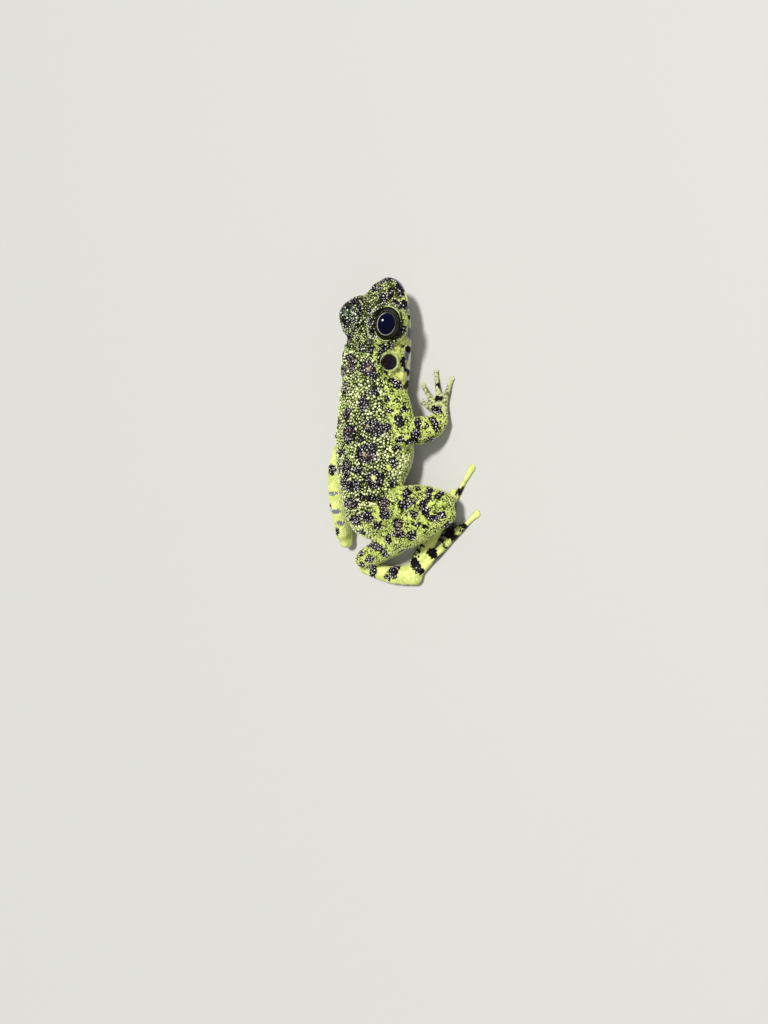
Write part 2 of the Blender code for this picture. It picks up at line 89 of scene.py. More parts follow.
def makeCamera():
    right, top, back = cameraAxes()
    data = bpy.data.cameras.new("camera")
    data.lens, data.sensor_width = view["lens"], view["sensor"]
    data.clip_start = view["nearest"]
    made = newObject("camera", data)
    made.matrix_world = Matrix.Translation(cameraPlace()) @ Matrix((right, top, back)).transposed().to_4x4()
    bpy.context.scene.camera = made


# Small helpers for meshes, in metres

def readRows(data, name, across=3, kind=np.float32):
    flat = np.empty(len(data) * across, kind)
    data.foreach_get(name, flat)
    return flat.reshape(-1, across)


def readPoints(mesh):
    return readRows(mesh.vertices, "co").astype(float)


def readNormals(mesh):
    return readRows(mesh.vertex_normals, "vector").astype(float)


def readEdges(mesh):
    return readRows(mesh.edges, "vertices", 2, np.int32)


def writePoints(mesh, points):
    mesh.vertices.foreach_set("co", points.astype(np.float32).ravel())
    mesh.update()


def lengths(rows):
    return np.linalg.norm(rows, axis=1)


def neighbourMean(values, edges):
    ends = np.concatenate((edges[:, 0], edges[:, 1]))
    others = np.concatenate((edges[:, 1], edges[:, 0]))
    count = np.maximum(np.bincount(ends, minlength=len(values)), 1)
    if values.ndim == 1:
        return np.bincount(ends, values[others], len(values)) / count
    return np.stack([np.bincount(ends, values[others, k], len(values)) / count for k in range(3)], axis=1)


def evenOut(points, edges, passes, weight=1.0, pushBack=0.53):
    # smooths, and pushes back a little each time so that thin parts keep their size
    for _ in range(passes):
        points = points + 0.5 * weight * (neighbourMean(points, edges) - points)
        points = points - pushBack * weight * (neighbourMean(points, edges) - points)
    return points


def spreadOut(values, edges, passes):
    for _ in range(passes):
        values = 0.5 * values + 0.5 * neighbourMean(values, edges)
    return values


def ramp(low, high, values):
    share = np.clip((values - low) / (high - low), 0, 1)
    return share * share * (3 - 2 * share)


def bump(middle, width, values):
    return np.exp(-(((values - middle) / width) ** 2))


def storeValues(mesh, name, values):
    layer = mesh.attributes.get(name) or mesh.attributes.new(name, "FLOAT", "POINT")
    layer.data.foreach_set("value", np.asarray(values, np.float32))


def newObject(name, data):
    made = bpy.data.objects.new(name, data)
    bpy.context.scene.collection.objects.link(made)
    return made


def openMesh(mesh):
    work = bmesh.new()
    work.from_mesh(mesh)
    return work


def takeMesh(work, mesh):
    # lays the work's faces into a mesh, given itself or as a new one's name
    if isinstance(mesh, str):
        mesh = bpy.data.meshes.new(mesh)
    work.to_mesh(mesh)
    work.free()
    return mesh


def faceOutwards(mesh):
    work = openMesh(mesh)
    bmesh.ops.recalc_face_normals(work, faces=work.faces)
    return takeMesh(work, mesh)


def settled(obj):
    # the object's modifiers made part of its mesh
    bpy.context.view_layer.update()
    seen = obj.evaluated_get(bpy.context.evaluated_depsgraph_get())
    mesh = bpy.data.meshes.new_from_object(seen)
    obj.modifiers.clear()
    obj.data = mesh
    return obj


class Wiring:
    # short ways to place and join the nodes of one tree
    def __init__(self, tree):
        self.tree = tree

    def node(self, kind, settings=None, numbered=None, **named):
        # the inputs are given by their number or name, each as a socket to join or a value
        made = self.tree.nodes.new(kind)
        for key, value in (settings or {}).items():
            setattr(made, key, value)
        for key, value in (numbered or {}).items():
            self.put(made.inputs[key], value)
        return self.fill(made, **named)

    def fill(self, made, **named):
        for key, value in named.items():
            self.put(made.inputs[key.replace("_", " ")], value)
        return made

    def put(self, socket, value):
        if isinstance(value, bpy.types.NodeSocket):
            self.tree.links.new(value, socket)
        elif isinstance(value, tuple) and len(value) == 3 and socket.type == "RGBA":
            socket.default_value = (*value, 1)
        else:
            socket.default_value = value

    def maths(self, operation, first, second=0.0):
        return self.node("ShaderNodeMath", {"operation": operation}, {0: first, 1: second}).outputs[0]

    def times(self, first, second):
        return self.maths("MULTIPLY", first, second)

    def plus(self, first, second):
        return self.maths("ADD", first, second)


class Colouring(Wiring):
    # the same for the trees of materials
    def value(self, name):
        return self.node("ShaderNodeAttribute", {"attribute_name": name}).outputs["Fac"]

    def between(self, source, low, high):
        made = self.node("ShaderNodeMapRange", {"interpolation_type": "SMOOTHSTEP"}, Value=source)
        made.inputs["From Min"].default_value = low
        made.inputs["From Max"].default_value = high
        return made.outputs[0]

    def noise(self, place, scale, detail=2.0):
        return self.node("ShaderNodeTexNoise", Vector=place, Scale=scale, Detail=detail).outputs["Fac"]

    def cloud(self, place, scale, detail, low, high):
        return self.between(self.noise(place, scale, detail), low, high)

    def mix(self, share, *ends):
        # between two colours, each a socket or the name of one of the frog's colours
        first, second = (colours[end] if isinstance(end, str) else end for end in ends)
        return self.node("ShaderNodeMix", {"data_type": "RGBA"}, {0: share, 6: first, 7: second}).outputs[2]


def newFinish(name):
    # a material, the wiring of its tree and its shader
    finish = bpy.data.materials.new(name)
    finish.use_nodes = True
    return finish, Colouring(finish.node_tree), finish.node_tree.nodes["Principled BSDF"]


# Head directions, shared by the skin, the eyes and the eardrums

headShape = {
    "snout": (3.87, 61.50),  # mm, the ground point under the tip of the snout
    "turn": 16.0,  # degrees towards the frog's right
    "mouthFront": 12.4,  # mm, height of the mouth line at the snout
    "mouthSlope": 0.03,
    "mouthReach": 38.5,
}


def headAxes():
    turn = math.radians(headShape["turn"])
    forward = np.array((math.sin(turn), math.cos(turn), 0.0))
    return forward, np.array((forward[1], -forward[0], 0.0))


def headPlaces(points):
    # each point's distance to the head's right and behind the snout, and its height, in mm
    forward, right = headAxes()
    own = np.atleast_2d(points) / mm - np.array((*headShape["snout"], 0.0))
    return own @ right, -(own @ forward), own[:, 2]


def mirrored(point):
    forward, right = headAxes()
    snout = np.array((*headShape["snout"], 0.0)) * mm
    return np.asarray(point) - 2 * np.dot(np.asarray(point) - snout, right) * right


eyeShape = {
    "radii": (7.0, 6.8, 6.9),  # mm along the head, across the gaze and along it
    "gazeUp": {"right": 50.0, "left": 28.0},  # degrees, the head leans to its left
    "gazeForward": 12.0,
    "cadOpening": (55.0, 42.0),  # degrees from the gaze to the lids in the solids
    "opening": {"right": (56.0, 39.5), "left": (54.0, 36.0)},  # the same in the skin
}


def nodeMiddle(name):
    low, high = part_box(name)
    return np.array((low + high) / 2)


def eyeAxes(side):
    # along the head, across the gaze, and the gaze
    sign = sides[side]
    rise, ahead = math.radians(eyeShape["gazeUp"][side]), math.radians(eyeShape["gazeForward"])
    forward, right = headAxes()
    gaze = right * sign * math.cos(rise) * math.cos(ahead) + forward * math.cos(rise) * math.sin(ahead)
    gaze = gaze + np.array((0, 0, math.sin(rise)))
    along = forward - gaze * np.dot(forward, gaze)
    along /= np.linalg.norm(along)
    return along, np.cross(gaze, along), gaze


def eyeAngles(points, side, opening):
    # distance from the eye's middle in mm, angle from the gaze, and that angle as a share of the opening's
    along, across, gaze = eyeAxes(side)
    own = points / mm - nodeMiddle("eye_" + side) / mm
    reach = lengths(own)
    angle = np.arccos(np.clip(own @ gaze / reach, -1, 1))
    aroundGaze = np.arctan2(own @ across, own @ along)
    wide, high = (math.radians(a) for a in opening)
    edge = 1 / np.sqrt((np.cos(aroundGaze) / wide) ** 2 + (np.sin(aroundGaze) / high) ** 2)
    return reach, angle, aroundGaze, edge


# Skin

skinMake = {
    "swell": 0.22,  # mm, closes the thin cuts between the solids
    "voxel": 0.64,
    "evenPasses": 6,
    "seamPasses": 26,
    "seamSpread": 9,
    "seamGrowth": 1.035,
    "seamWeight": 0.9,
    "seamPushBack": 0.30,
    "softPasses": 3,
    "headPasses": 2,
    "coatDepth": 0.25,  # mm that the granules stand on
    "coatFacing": (-0.5, 0.1),  # from none on faces that look down
    "offFloor": 0.02,
    "fineAbove": 9.0,  # mm, the head is finer from this height up
}
fleshNodes = sorted(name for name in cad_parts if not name.startswith(("eye_", "eardrum_")))


def mergedCopy(name):
    work = openMesh(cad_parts[name].data)
    bmesh.ops.remove_doubles(work, verts=work.verts, dist=1e-6)
    return takeMesh(work, name + "_copy")


def joinedFlesh(swell):
    # every flesh node in one mesh, swollen so that they meet, and each face's node
    points, faces, owners, start = [], [], [], 0
    for index, name in enumerate(fleshNodes):
        mesh = mergedCopy(name)
        own = readPoints(mesh) + readNormals(mesh) * swell * mm
        points.append(own)
        faces += [[start + v for v in face.vertices] for face in mesh.polygons]
        owners += [index] * len(mesh.polygons)
        start += len(own)
        bpy.data.meshes.remove(mesh)
    return np.concatenate(points), faces, owners


def largestPart(mesh):
    work = openMesh(mesh)
    left, shells = set(work.verts), []
    while left:
        shell, todo = set(), [next(iter(left))]
        while todo:
            vert = todo.pop()
            if vert not in shell:
                shell.add(vert)
                todo.extend(edge.other_vert(vert) for edge in vert.link_edges)
        left -= shell
        shells.append(shell)
    shells.sort(key=len)
    bmesh.ops.delete(work, geom=[v for shell in shells[:-1] for v in shell], context="VERTS")
    takeMesh(work, mesh)
    print("  loose shells left out:", len(shells) - 1)


def nearestNode(points, tree, owners):
    return np.array([owners[tree.find_nearest(Vector(p))[2]] for p in points])


def remeshedSkin():
    points, faces, owners = joinedFlesh(skinMake["swell"])
    mesh = bpy.data.meshes.new("skin")
    mesh.from_pydata([tuple(p) for p in points], [], faces)
    skin = newObject("frogSkin", mesh)
    remesh = skin.modifiers.new("remesh", "REMESH")
    remesh.mode = "VOXEL"
    remesh.voxel_size = skinMake["voxel"] * mm
    settled(skin)
    largestPart(skin.data)
    tree = BVHTree.FromPolygons([Vector(p) for p in points], faces)
    owner = nearestNode(readPoints(skin.data), tree, owners)
    edges = readEdges(skin.data)
    seam = np.zeros(len(skin.data.vertices))
    seam[edges[owner[edges[:, 0]] != owner[edges[:, 1]]].ravel()] = 1
    for _ in range(skinMake["seamSpread"]):
        seam = np.maximum(seam, skinMake["seamGrowth"] * neighbourMean(seam, edges))
    seam = np.clip(spreadOut(seam, edges, skinMake["softPasses"]), 0, 1)[:, None] * skinMake["seamWeight"]
    points = evenOut(readPoints(skin.data), edges, skinMake["evenPasses"])
    points = evenOut(points, edges, skinMake["seamPasses"], seam, skinMake["seamPushBack"])
    writePoints(skin.data, points)
    storeValues(skin.data, "owner", owner)
    return skin


def readOwner(mesh):
    # the number in fleshNodes of the node that each point lies over
    return np.rint(readRows(mesh.attributes["owner"].data, "value", 1)[:, 0]).astype(int)


def refineHead(skin):
    # the upper head in faces of half the size
    mesh = skin.data
    isHead = readOwner(mesh) == fleshNodes.index("head")
    fine = isHead & (readPoints(mesh)[:, 2] > skinMake["fineAbove"] * mm)
    work = openMesh(mesh)
    work.verts.ensure_lookup_table()
    chosen = [edge for edge in work.edges if fine[edge.verts[0].index] and fine[edge.verts[1].index]]
    bmesh.ops.subdivide_edges(work, edges=chosen, cuts=1, use_grid_fill=True, smooth=0.0)
    takeMesh(work, mesh).update()


def makeSkin():
    skin = remeshedSkin()
    print("  skin faces after the remesh:", len(skin.data.polygons))
    refineHead(skin)
    mesh = skin.data
    edges = readEdges(mesh)
    points = evenOut(readPoints(mesh), edges, skinMake["headPasses"])
    writePoints(mesh, points)
    normals = readNormals(mesh)
    depth = skinMake["swell"] + skinMake["coatDepth"] * ramp(*skinMake["coatFacing"], normals[:, 2])
    points = points - normals * depth[:, None] * mm
    points[:, 2] = np.maximum(points[:, 2], skinMake["offFloor"] * mm)
    writePoints(mesh, points)
    mesh.shade_smooth()
    mesh.calc_loop_triangles()
    print("  skin triangles:", len(mesh.loop_triangles))
    return skin


# Forms carved into the fine skin of the head: lids, mouth, lips, nostrils, folds and glands

carving = {
    "mouthDepth": 0.55,  # mm
    "mouthWidth": 0.40,
    "lipSwell": 0.30,
    "lowerLipSwell": 0.18,
    "lipHeight": 1.1,
    "lipSize": 0.7,
    "lipFacing": (0.6, 0.9),  # how much a face may look up or down
    "mouthAhead": 3,  # mm before the snout, so that it is all in
    "mouthEnd": 3,
    "nostrilPixel": (392.0, 288.5),
    "nostrilSize": 0.75,
    "nostrilDepth": 0.9,
    "nostrilRim": 0.25,
    "nostrilRimAt": (1.275, 0.35),
    "lidInside": 7.1,  # mm from the eye's middle, the inner face of the lids
    "lidFade": 0.1,
    "lidReach": 12,  # mm from the eye's middle, as far as anything is turned
    "lidTurnFade": 0.55,  # radians past the opening
    "socketReach": 8.2,
    "socketFar": 9.5,
    "socketAt": (1.09, 1.03),  # shares of the angle between the gaze and the opening's edge
    "rimAt": (1.05, 0.05),  # the same, the middle and the width
    "thinAt": (0.98, 0.24),
    "grooveAt": (1.24, 0.07),
    "lidThinning": 0.7,
    "lidRimSwell": 0.16,
    "lidGroove": 0.16,
    "lidLinePixels": ((399, 312), (396, 307), (389, 304.5), (381, 306.5), (374, 311), (367, 318), (364, 328)),
    "lidLineSwell": 0.16,
    "lidLineSize": 0.5,
    "lidLineTint": 0.5,
    "lidLineTintSize": 0.24,
    "glandPixel": (403.0, 376.0),
    "glandSize": 2.0,
    "glandSwell": 0.9,
    "foldPixels": ((377, 342), (376, 352), (378, 364), (383, 374), (389, 381)),
    "foldSize": 0.9,
    "foldSwell": 0.45,
    "creasePixels": ((383, 344), (380.5, 353), (380.5, 362), (384, 371), (390, 377)),
    "creaseSize": 0.5,
    "creaseDepth": 0.45,
    "drumRim": 0.35,
    "drumRimAt": (0.7, 0.45),  # mm outside the eardrum's edge, and the width
    "drumRimTint": 0.75,
    "drumRimTintAt": (0.55, 0.20),
    "routeReach": 12,  # mm past a line's own size, farther off nothing is measured
}


def skinTree(mesh):
    return BVHTree.FromPolygons([v.co for v in mesh.vertices], [list(p.vertices) for p in mesh.polygons])


def seenOnSkin(tree, x, y):
    # the point of the skin that a pixel of the picture shows, or None
    place = tree.ray_cast(cameraPlace(), lineOfSight(x, y))[0]
    return None if place is None else np.array(place)


def routeOnSkin(tree, pixels, steps=6):
    # points along a line of pixels, laid on the skin
    found = []
    for (x0, y0), (x1, y1) in zip(pixels, pixels[1:]):
        for share in np.linspace(0, 1, steps, endpoint=False):
            found.append(seenOnSkin(tree, x0 + (x1 - x0) * share, y0 + (y1 - y0) * share))
    found.append(seenOnSkin(tree, *pixels[-1]))
    return np.array([p for p in found if p is not None])


def distanceToRoute(points, route):
    # distance in mm from every point to the nearest piece of a line
    nearest = np.full(len(points), 1e3)
    close = lengths(points - route.mean(axis=0)) < np.ptp(route, axis=0).max() + carving["routeReach"] * mm
    own = points[close]
    least = np.full(len(own), 1e3)
    for start, end in zip(route, route[1:]):
        run = end - start
        share = np.clip((own - start) @ run / max(run @ run, 1e-12), 0, 1)
        least = np.minimum(least, lengths(own - start - share[:, None] * run) / mm)
    nearest[close] = least
    return nearest


def distanceToLine(points, tree, pixels):
    # the same to a line of pixels laid on the skin, or to its mirror image on the frog's left
    route = routeOnSkin(tree, pixels)
    other = np.array([mirrored(place) for place in route])
    return np.minimum(distanceToRoute(points, route), distanceToRoute(points, other))


def distanceTo(points, place):
    return lengths(points - place) / mm


def distanceToEither(points, name):
    # the same to the nearer of the frog's two eyes or eardrums
    return np.minimum(*(distanceTo(points, nodeMiddle(name + side)) for side in sides))


def openLids(points):
    # turns the lids to the opening that the skin needs and thins them towards it, and returns the points with
    # how much each belongs to the rim of a lid and to the socket behind it
    ridge, socket = np.zeros(len(points)), np.zeros(len(points))
    for side in sides:
        reach, angle, aroundGaze, edge = eyeAngles(points, side, eyeShape["opening"][side])
        cadEdge = eyeAngles(points, side, eyeShape["cadOpening"])[3]
        near = reach < carving["lidReach"]
        shift = (edge - cadEdge) * (1 - ramp(edge, edge + carving["lidTurnFade"], angle))
        along, across, gaze = eyeAxes(side)
        turned, inside, fade = angle + shift, carving["lidInside"], carving["lidFade"]
        outwards = along * np.cos(aroundGaze)[:, None] + across * np.sin(aroundGaze)[:, None]
        moved = gaze * np.cos(turned)[:, None] + outwards * np.sin(turned)[:, None]
        share = turned / edge
        outside = ramp(inside - fade, inside + fade, reach)
        onRim = bump(*carving["rimAt"], share) * outside
        thickness = np.maximum(reach - inside, 0)
        swell = -thickness * carving["lidThinning"] * bump(*carving["thinAt"], share)
        swell += carving["lidRimSwell"] * onRim
        swell -= carving["lidGroove"] * bump(*carving["grooveAt"], share) * outside
        place = nodeMiddle("eye_" + side) + moved * ((reach + swell) * mm)[:, None]
        points = np.where(near[:, None], place, points)
        ridge = np.maximum(ridge, np.where(near, onRim, 0))
        inSocket = np.where(reach < carving["socketFar"], ramp(*carving["socketAt"], share), 0)
        socket = np.maximum(socket, inSocket)
    return points, ridge, socket


def mouthHeight(behind):
    return headShape["mouthFront"] - headShape["mouthSlope"] * behind


def carveHead(skin):
    mesh = skin.data
    points, ridge, socket = openLids(readPoints(mesh))
    writePoints(mesh, points)
    tree = skinTree(mesh)
    normals = readNormals(mesh)
    _, behind, height = headPlaces(points)
    aboveMouth = height - mouthHeight(behind)
    mouthEnd = headShape["mouthReach"]
    alongMouth = ramp(mouthEnd, mouthEnd - carving["mouthEnd"], behind) * (behind > -carving["mouthAhead"])
    sideways = 1 - ramp(*carving["lipFacing"], np.abs(normals[:, 2]))
    lift = np.zeros(len(points))
    for swell, level, size in (
        (-carving["mouthDepth"], 0, carving["mouthWidth"]),
        (carving["lipSwell"], carving["lipHeight"], carving["lipSize"]),
        (carving["lowerLipSwell"], -carving["lipHeight"], carving["lipSize"]),
    ):
        lift += swell * bump(level, size, aboveMouth) * alongMouth * sideways
    nostril, gland = (seenOnSkin(tree, *carving[name + "Pixel"]) for name in ("nostril", "gland"))
    glands = (gland, mirrored(gland))
    for place in (nostril, mirrored(nostril)):
        far = distanceTo(points, place)
        lift -= carving["nostrilDepth"] * bump(0, carving["nostrilSize"], far)
        lift += carving["nostrilRim"] * bump(*carving["nostrilRimAt"], far)
    for place in glands:
        lift += carving["glandSwell"] * bump(0, carving["glandSize"], distanceTo(points, place))
    fold, crease, lidLine = (
        distanceToLine(points, tree, carving[name + "Pixels"]) for name in ("fold", "crease", "lidLine")
    )
    lift += carving["foldSwell"] * bump(0, carving["foldSize"], fold)
    lift -= carving["creaseDepth"] * bump(0, carving["creaseSize"], crease)
    lift += carving["lidLineSwell"] * bump(0, carving["lidLineSize"], lidLine)
    rim = np.maximum(ridge, carving["lidLineTint"] * bump(0, carving["lidLineTintSize"], lidLine))
    for side in sides:
        past = distanceTo(points, nodeMiddle("eardrum_" + side)) - drumShape["radius"]
        lift += carving["drumRim"] * bump(*carving["drumRimAt"], past)
        rim = np.maximum(rim, carving["drumRimTint"] * bump(*carving["drumRimTintAt"], past))
    writePoints(mesh, points + normals * (lift * mm)[:, None])
    return {"rim": rim, "socket": socket, "fold": fold, "glands": glands}


# Markings, kept on the skin as distances in mm to the edge of each kind, negative inside.
# A spot is its place in the picture, half its width and height there in pixels, and any clockwise tilt

darkSpots = {
    "snoutTop": (385, 279.5, 9, 2.4, -14),
    "snoutEdge": (400, 289, 7.5, 3.2, 63),
    "snoutLeft": (373, 287, 2.6, 4.2, 15),
    "snoutMiddle": (379, 288, 1.8, 2.4),
    "noseSide": (391, 291.5, 2.6, 4.6),
    "snoutStar": (383.5, 297, 4.4, 4.6),
    "belowStar": (380.5, 304, 2.6, 2),
    "beforeEye": (402, 305.5, 4.8, 5.2),
    "beforeEyeSide": (396, 303, 2.4, 2.2),
    "lipFront": (408.5, 317.5, 1.8, 4.2, -20),
    "underEye": (404, 330, 4.6, 4.8),
    "underEyeFoot": (400.5, 336, 2.6, 3, 20),
    "lipMiddle": (407, 349, 3.2, 4.6, -30),
    "lipMiddleHigh": (403.5, 346, 2.4, 1.8),
    "lipRear": (404, 363, 3.4, 6),
    "lipRearFoot": (406, 369.5, 2, 2.8),
    "jawRear": (408.5, 373, 1.8, 4, 10),
    "earCrease": (381, 355, 1.5, 9.5, -4),
    "earCreaseLow": (385.5, 373, 1.4, 6, -32),
    "eyeRear": (382, 347.5, 3.2, 3),
    "cheekSpeck": (392, 347, 2.6, 1.8, 10),
    "browFront": (378, 310.5, 3.6, 1.6, -30),
    "browSide": (370.5, 312, 2.8, 3.2, 20),
    "crownFront": (369, 321, 2.2, 3.8),
    "crownMiddle": (371.5, 331.5, 2.6, 2.6),
    "crownRear": (371.5, 341, 2.2, 2.2),
    "crownDot": (372, 350, 3.4, 3.2),
    "crownLeft": (362, 348, 2.4, 3.4),
    "lidFront": (350, 302, 3.6, 2.6, 15),
    "lidOuter": (341.5, 311, 1.4, 7, 12),
    "lidCorner": (356.5, 299.5, 2.2, 3.8),
    "lidInner": (359.5, 309, 1.8, 5),
    "lidRear": (346, 322, 3.8, 3, 30),
    "lidMiddle": (349, 306, 2.2, 2),
    "neckRight": (368, 368, 7.6, 6.8),
    "neckLeft": (351, 363, 3.8, 9),
    "neckLow": (373.5, 376, 3, 2.6),
    "underEar": (392, 380, 3.8, 3, 20),
    "underEarLow": (397.5, 384.5, 4.6, 4.8, 20),
    "behindGland": (406, 385, 3.2, 4.6, 10),
    "armFront": (408.5, 394, 2.6, 3, -20),
    "nape": (373.5, 391.5, 4.4, 3.4, -30),
    "shoulder": (363, 404, 4.8, 6.4),
    "shoulderRight": (387, 399, 2.4, 3.6),
    "shoulderLeft": (346.5, 414, 3.2, 6, 10),
    "napeLeft": (344, 389, 2.6, 6),
    "middle": (372, 425.5, 8.2, 7.6),
    "middleLow": (378, 433.5, 5, 2.8),
    "middleLeft": (349, 434, 6.2, 9.4, 10),
    "middleSmall": (361, 438.5, 2.6, 2.2),
    "sideUpper": (341, 452, 3.8, 2.6, 20),
    "large": (366, 454, 9.6, 9),
    "largeHorn": (371, 446, 3.4, 2.2, -30),
    "lowLeft": (346, 468, 4, 8),
    "lowSmall": (357.5, 470, 4.4, 3.8),
    "ringed": (374, 479, 9, 8.6),
    "hipLeft": (352, 486, 7.8, 5, -10),
    "hipSide": (344, 482, 2.8, 5),
    "rumpTop": (361, 497, 3.4, 2.6),
    "rumpRight": (371.5, 498, 3.2, 2.8),
    "rumpLeft": (350, 503, 5.6, 5, 20),
    "groin": (383, 504, 5.4, 8, -8),
    "groinLow": (385, 515, 5.6, 4.6),
    "rumpMiddle": (367.5, 517, 5, 5.4, 10),
    "rumpLow": (355, 520, 5.2, 4.8),
    "tail": (377, 525.5, 4.2, 3.4, 30),
    "tailLeft": (360, 532, 5, 1.8, 10),
    "flankUpper": (394, 463, 3.4, 4.8),
    "flankLower": (393, 484, 3, 3.8),
    "flankArm": (398, 447, 3.4, 2.4),
    "arm": (399, 421, 4.6, 6.4, -8),
    "armRoot": (385.5, 427.5, 6.2, 4.2),
    "armTop": (404.5, 409, 3.4, 2.6, 20),
    "armSmall": (389, 411.5, 3.2, 1.8),
    "elbow": (400, 440.5, 4.6, 2.6),
    "elbowUnder": (411, 441.5, 7, 2.2, -4),
    "forearmNear": (417.5, 422, 3, 8),
    "forearmNearLow": (415.5, 435, 4.2, 5, 30),
    "forearmSpeck": (427.5, 426, 1.5, 1.4),
    "forearmFar": (434.5, 423, 3, 8.6, -14),
    "wrist": (436, 410, 4.8, 3.6),
    "fingerRing": (438, 398.5, 3.6, 2.4, -10),
    "fingerRingFar": (439.5, 384.5, 2.8, 2),
    "thighFar": (429.5, 491, 3.4, 6.4, 8),
    "thighFarLow": (428.5, 498, 2.2, 2.8),
    "thighKnee": (441, 494, 7, 2.8, -52),
    "thighBar": (406.5, 493, 3.6, 7.6),
    "thighBarLow": (402.5, 505, 4.6, 4.8, -30),
    "thighBarSide": (411, 502.5, 4, 3.2, -20),
    "thighSpeck": (417.5, 488, 2.8, 2, -20),
    "hookTop": (423.5, 503.5, 3.2, 4),
    "hookSide": (424.5, 511, 3.4, 5.4, -30),
    "hookLow": (432.5, 518.5, 5.6, 3.2, 10),
    "hookEnd": (441, 515.5, 5.4, 3.2),
    "shinSmall": (414, 514.5, 3, 4.2),
    "shinSpeck": (416.5, 524.5, 3.4, 2, -10),
    "shinDots": (425, 526, 2, 2.4),
    "shinLarge": (398.5, 525, 4.2, 7),
    "shinLargeLow": (398.5, 534, 6, 3.6),
    "shinCorner": (411.5, 536, 4.2, 4.6, -30),
    "shinInner": (388, 539, 2.6, 4.6),
    "shinDiagonal": (376.5, 547, 6.6, 3.8, 40),
    "shinDiagonalLow": (386, 554.5, 3.6, 2.4, 35),
    "shinSide": (370, 544.5, 3, 2.6),
    "heelSpot": (369.5, 559.5, 4, 3.4),
    "heelBar": (373, 570.5, 3.4, 7, -8),
    "heelLeft": (360.5, 552, 2.2, 4),
    "heelLow": (361.5, 565, 2.6, 2),
    "footBar1": (394, 570, 4.8, 8.6, 12),
    "footBar1Side": (388, 577, 3, 3),
    "footBar2": (415.5, 564, 4.4, 8, -24),
    "footBar2Low": (419.5, 570.5, 4, 3.4),
    "footBar3": (433.5, 553.5, 4.4, 4.8),
    "footBar4": (450, 533.5, 4.6, 5.4, 35),
    "footBar5": (461, 522, 3, 4.8, 35),
    "leftLegPatch": (331, 470, 4.4, 5.2),
    "leftLegSpeck": (337, 532, 1.8, 3.2),
}
greyBars = {
    "leftLegHigh": (332.5, 493.5, 7.2, 2, -8),
    "leftLegMiddle": (335.5, 511.5, 6.6, 2.4, -8),
    "leftLegLow": (340.5, 523.5, 4.4, 2.2),
}
brownSpots = {
    "crownLeft": (366, 301, 3.2, 8, -8),
    "crownRear": (357, 338.5, 2.8, 6.2),
    "behindLid": (347, 330, 3.4, 4.8, 20),
    "neckRight": (368, 367, 5, 4.4),
    "neckLeft": (351, 363, 2.6, 6.6),
    "shoulderLeft": (346, 415, 2.2, 4.4),
    "middleLeft": (348.5, 434, 4.4, 6.6, 10),
    "large": (366, 455, 5.6, 5),
    "rumpLeft": (350, 504, 3.6, 3.4),
    "groin": (383.5, 505, 3.4, 5.6),
    "shin": (399.5, 527, 3.2, 5),
    "flank": (386, 467, 2.4, 1.6),
}
goldSpots = {
    "neckRight": (368, 368.5, 1.7, 1.5),
    "middle": (368, 426, 1.4, 1.4),
    "large": (365, 454, 1.9, 1.7),
    "shin": (398.5, 525.5, 1.2, 1.2),
}
yellowSpots = {
    "gland": (403, 376, 3.8, 4.2),
    "glandLow": (404, 383, 2, 2.2),
    "flankWart": (389, 467, 3, 2.8),
    "ringed": (373.5, 478.5, 2.2, 3),
}
mark = {
    "farAway": 4.0,  # mm, distances are cut off here
    "hiddenSpacing": 6.6,
    "hiddenSizes": (0.8, 2.3),
    "hiddenShift": 1.9,
    "hiddenCount": 130,
    "seed": 31,
    "seenFacing": 0.25,  # how much a face looks at the camera, when the picture may show it
    "seenLift": 0.4,  # mm off the skin, where a line to the camera starts
    "grow": 0.30,  # mm, how much wider the blotches are than their ovals
    "growOnHead": 0.38,
    "growOnCheek": -0.15,
    "clearOfEye": 9.8,  # mm from the middles, free of blotches that the picture doesn't show
    "clearOfDrum": 5.2,
    "clearOfGround": 2.2,
    "clearOfSnout": 3,
    "under": (0.05, 0.55),  # how much a face looks down, from none of a marking to all of it
    "bellyFacing": (-0.35, 0.1),
    "bellyHeight": (8.5, 5.0),  # mm over the ground
    "flankHeight": (18.5, 13.5),
    "jawHeight": (0.4, -0.4),  # mm over the mouth line
    "throatHeight": (-0.2, -0.9),
    "lipHeights": (0.75, -0.9),  # the middles of the two lips' bands
    "lipWidth": 0.95,
    "throatBehind": (47, 38),  # mm behind the snout
    "cheekBehind": (1, 6),
    "snoutBehind": (14, 4),
    "lipBehind": (2, -5),  # mm behind the end of the mouth
    "cheekSide": (7.4, 9.0),  # mm from the head's middle
    "cheekTop": {"right": 19.5, "left": 14.5},
    "cheekFade": 2.5,
    "foldAt": (0.8, 0.9),  # mm from the fold's line, and the width
    "skyReflectionUp": 6.0,  # mm over the eye's middle, the top of the lid's dome where the sky's reflection is painted
    "skyReflectionSize": 5.5,
    "glandSize": 1.7,
    "tipHeight": 0.6,
    "tipSize": 1.6,
    "digitBars": ((0.28, 0.05), (0.44, 0.045), (0.60, 0.045), (0.75, 0.035)),  # shares of the digit
    "barSteepness": 22,
    "barReach": 2.2,  # mm from the digit's line
    "webFrom": (1.35, 1.9),
    "webAlong": (0.16, 0.26),
    "webHeight": (3.2, 2.6),
    "digitHeight": 3.4,
    "drumBare": 0.7,
    "napeFrom": 30,  # mm behind the snout, where the back's large granules start
    "headUpTo": 33,
}
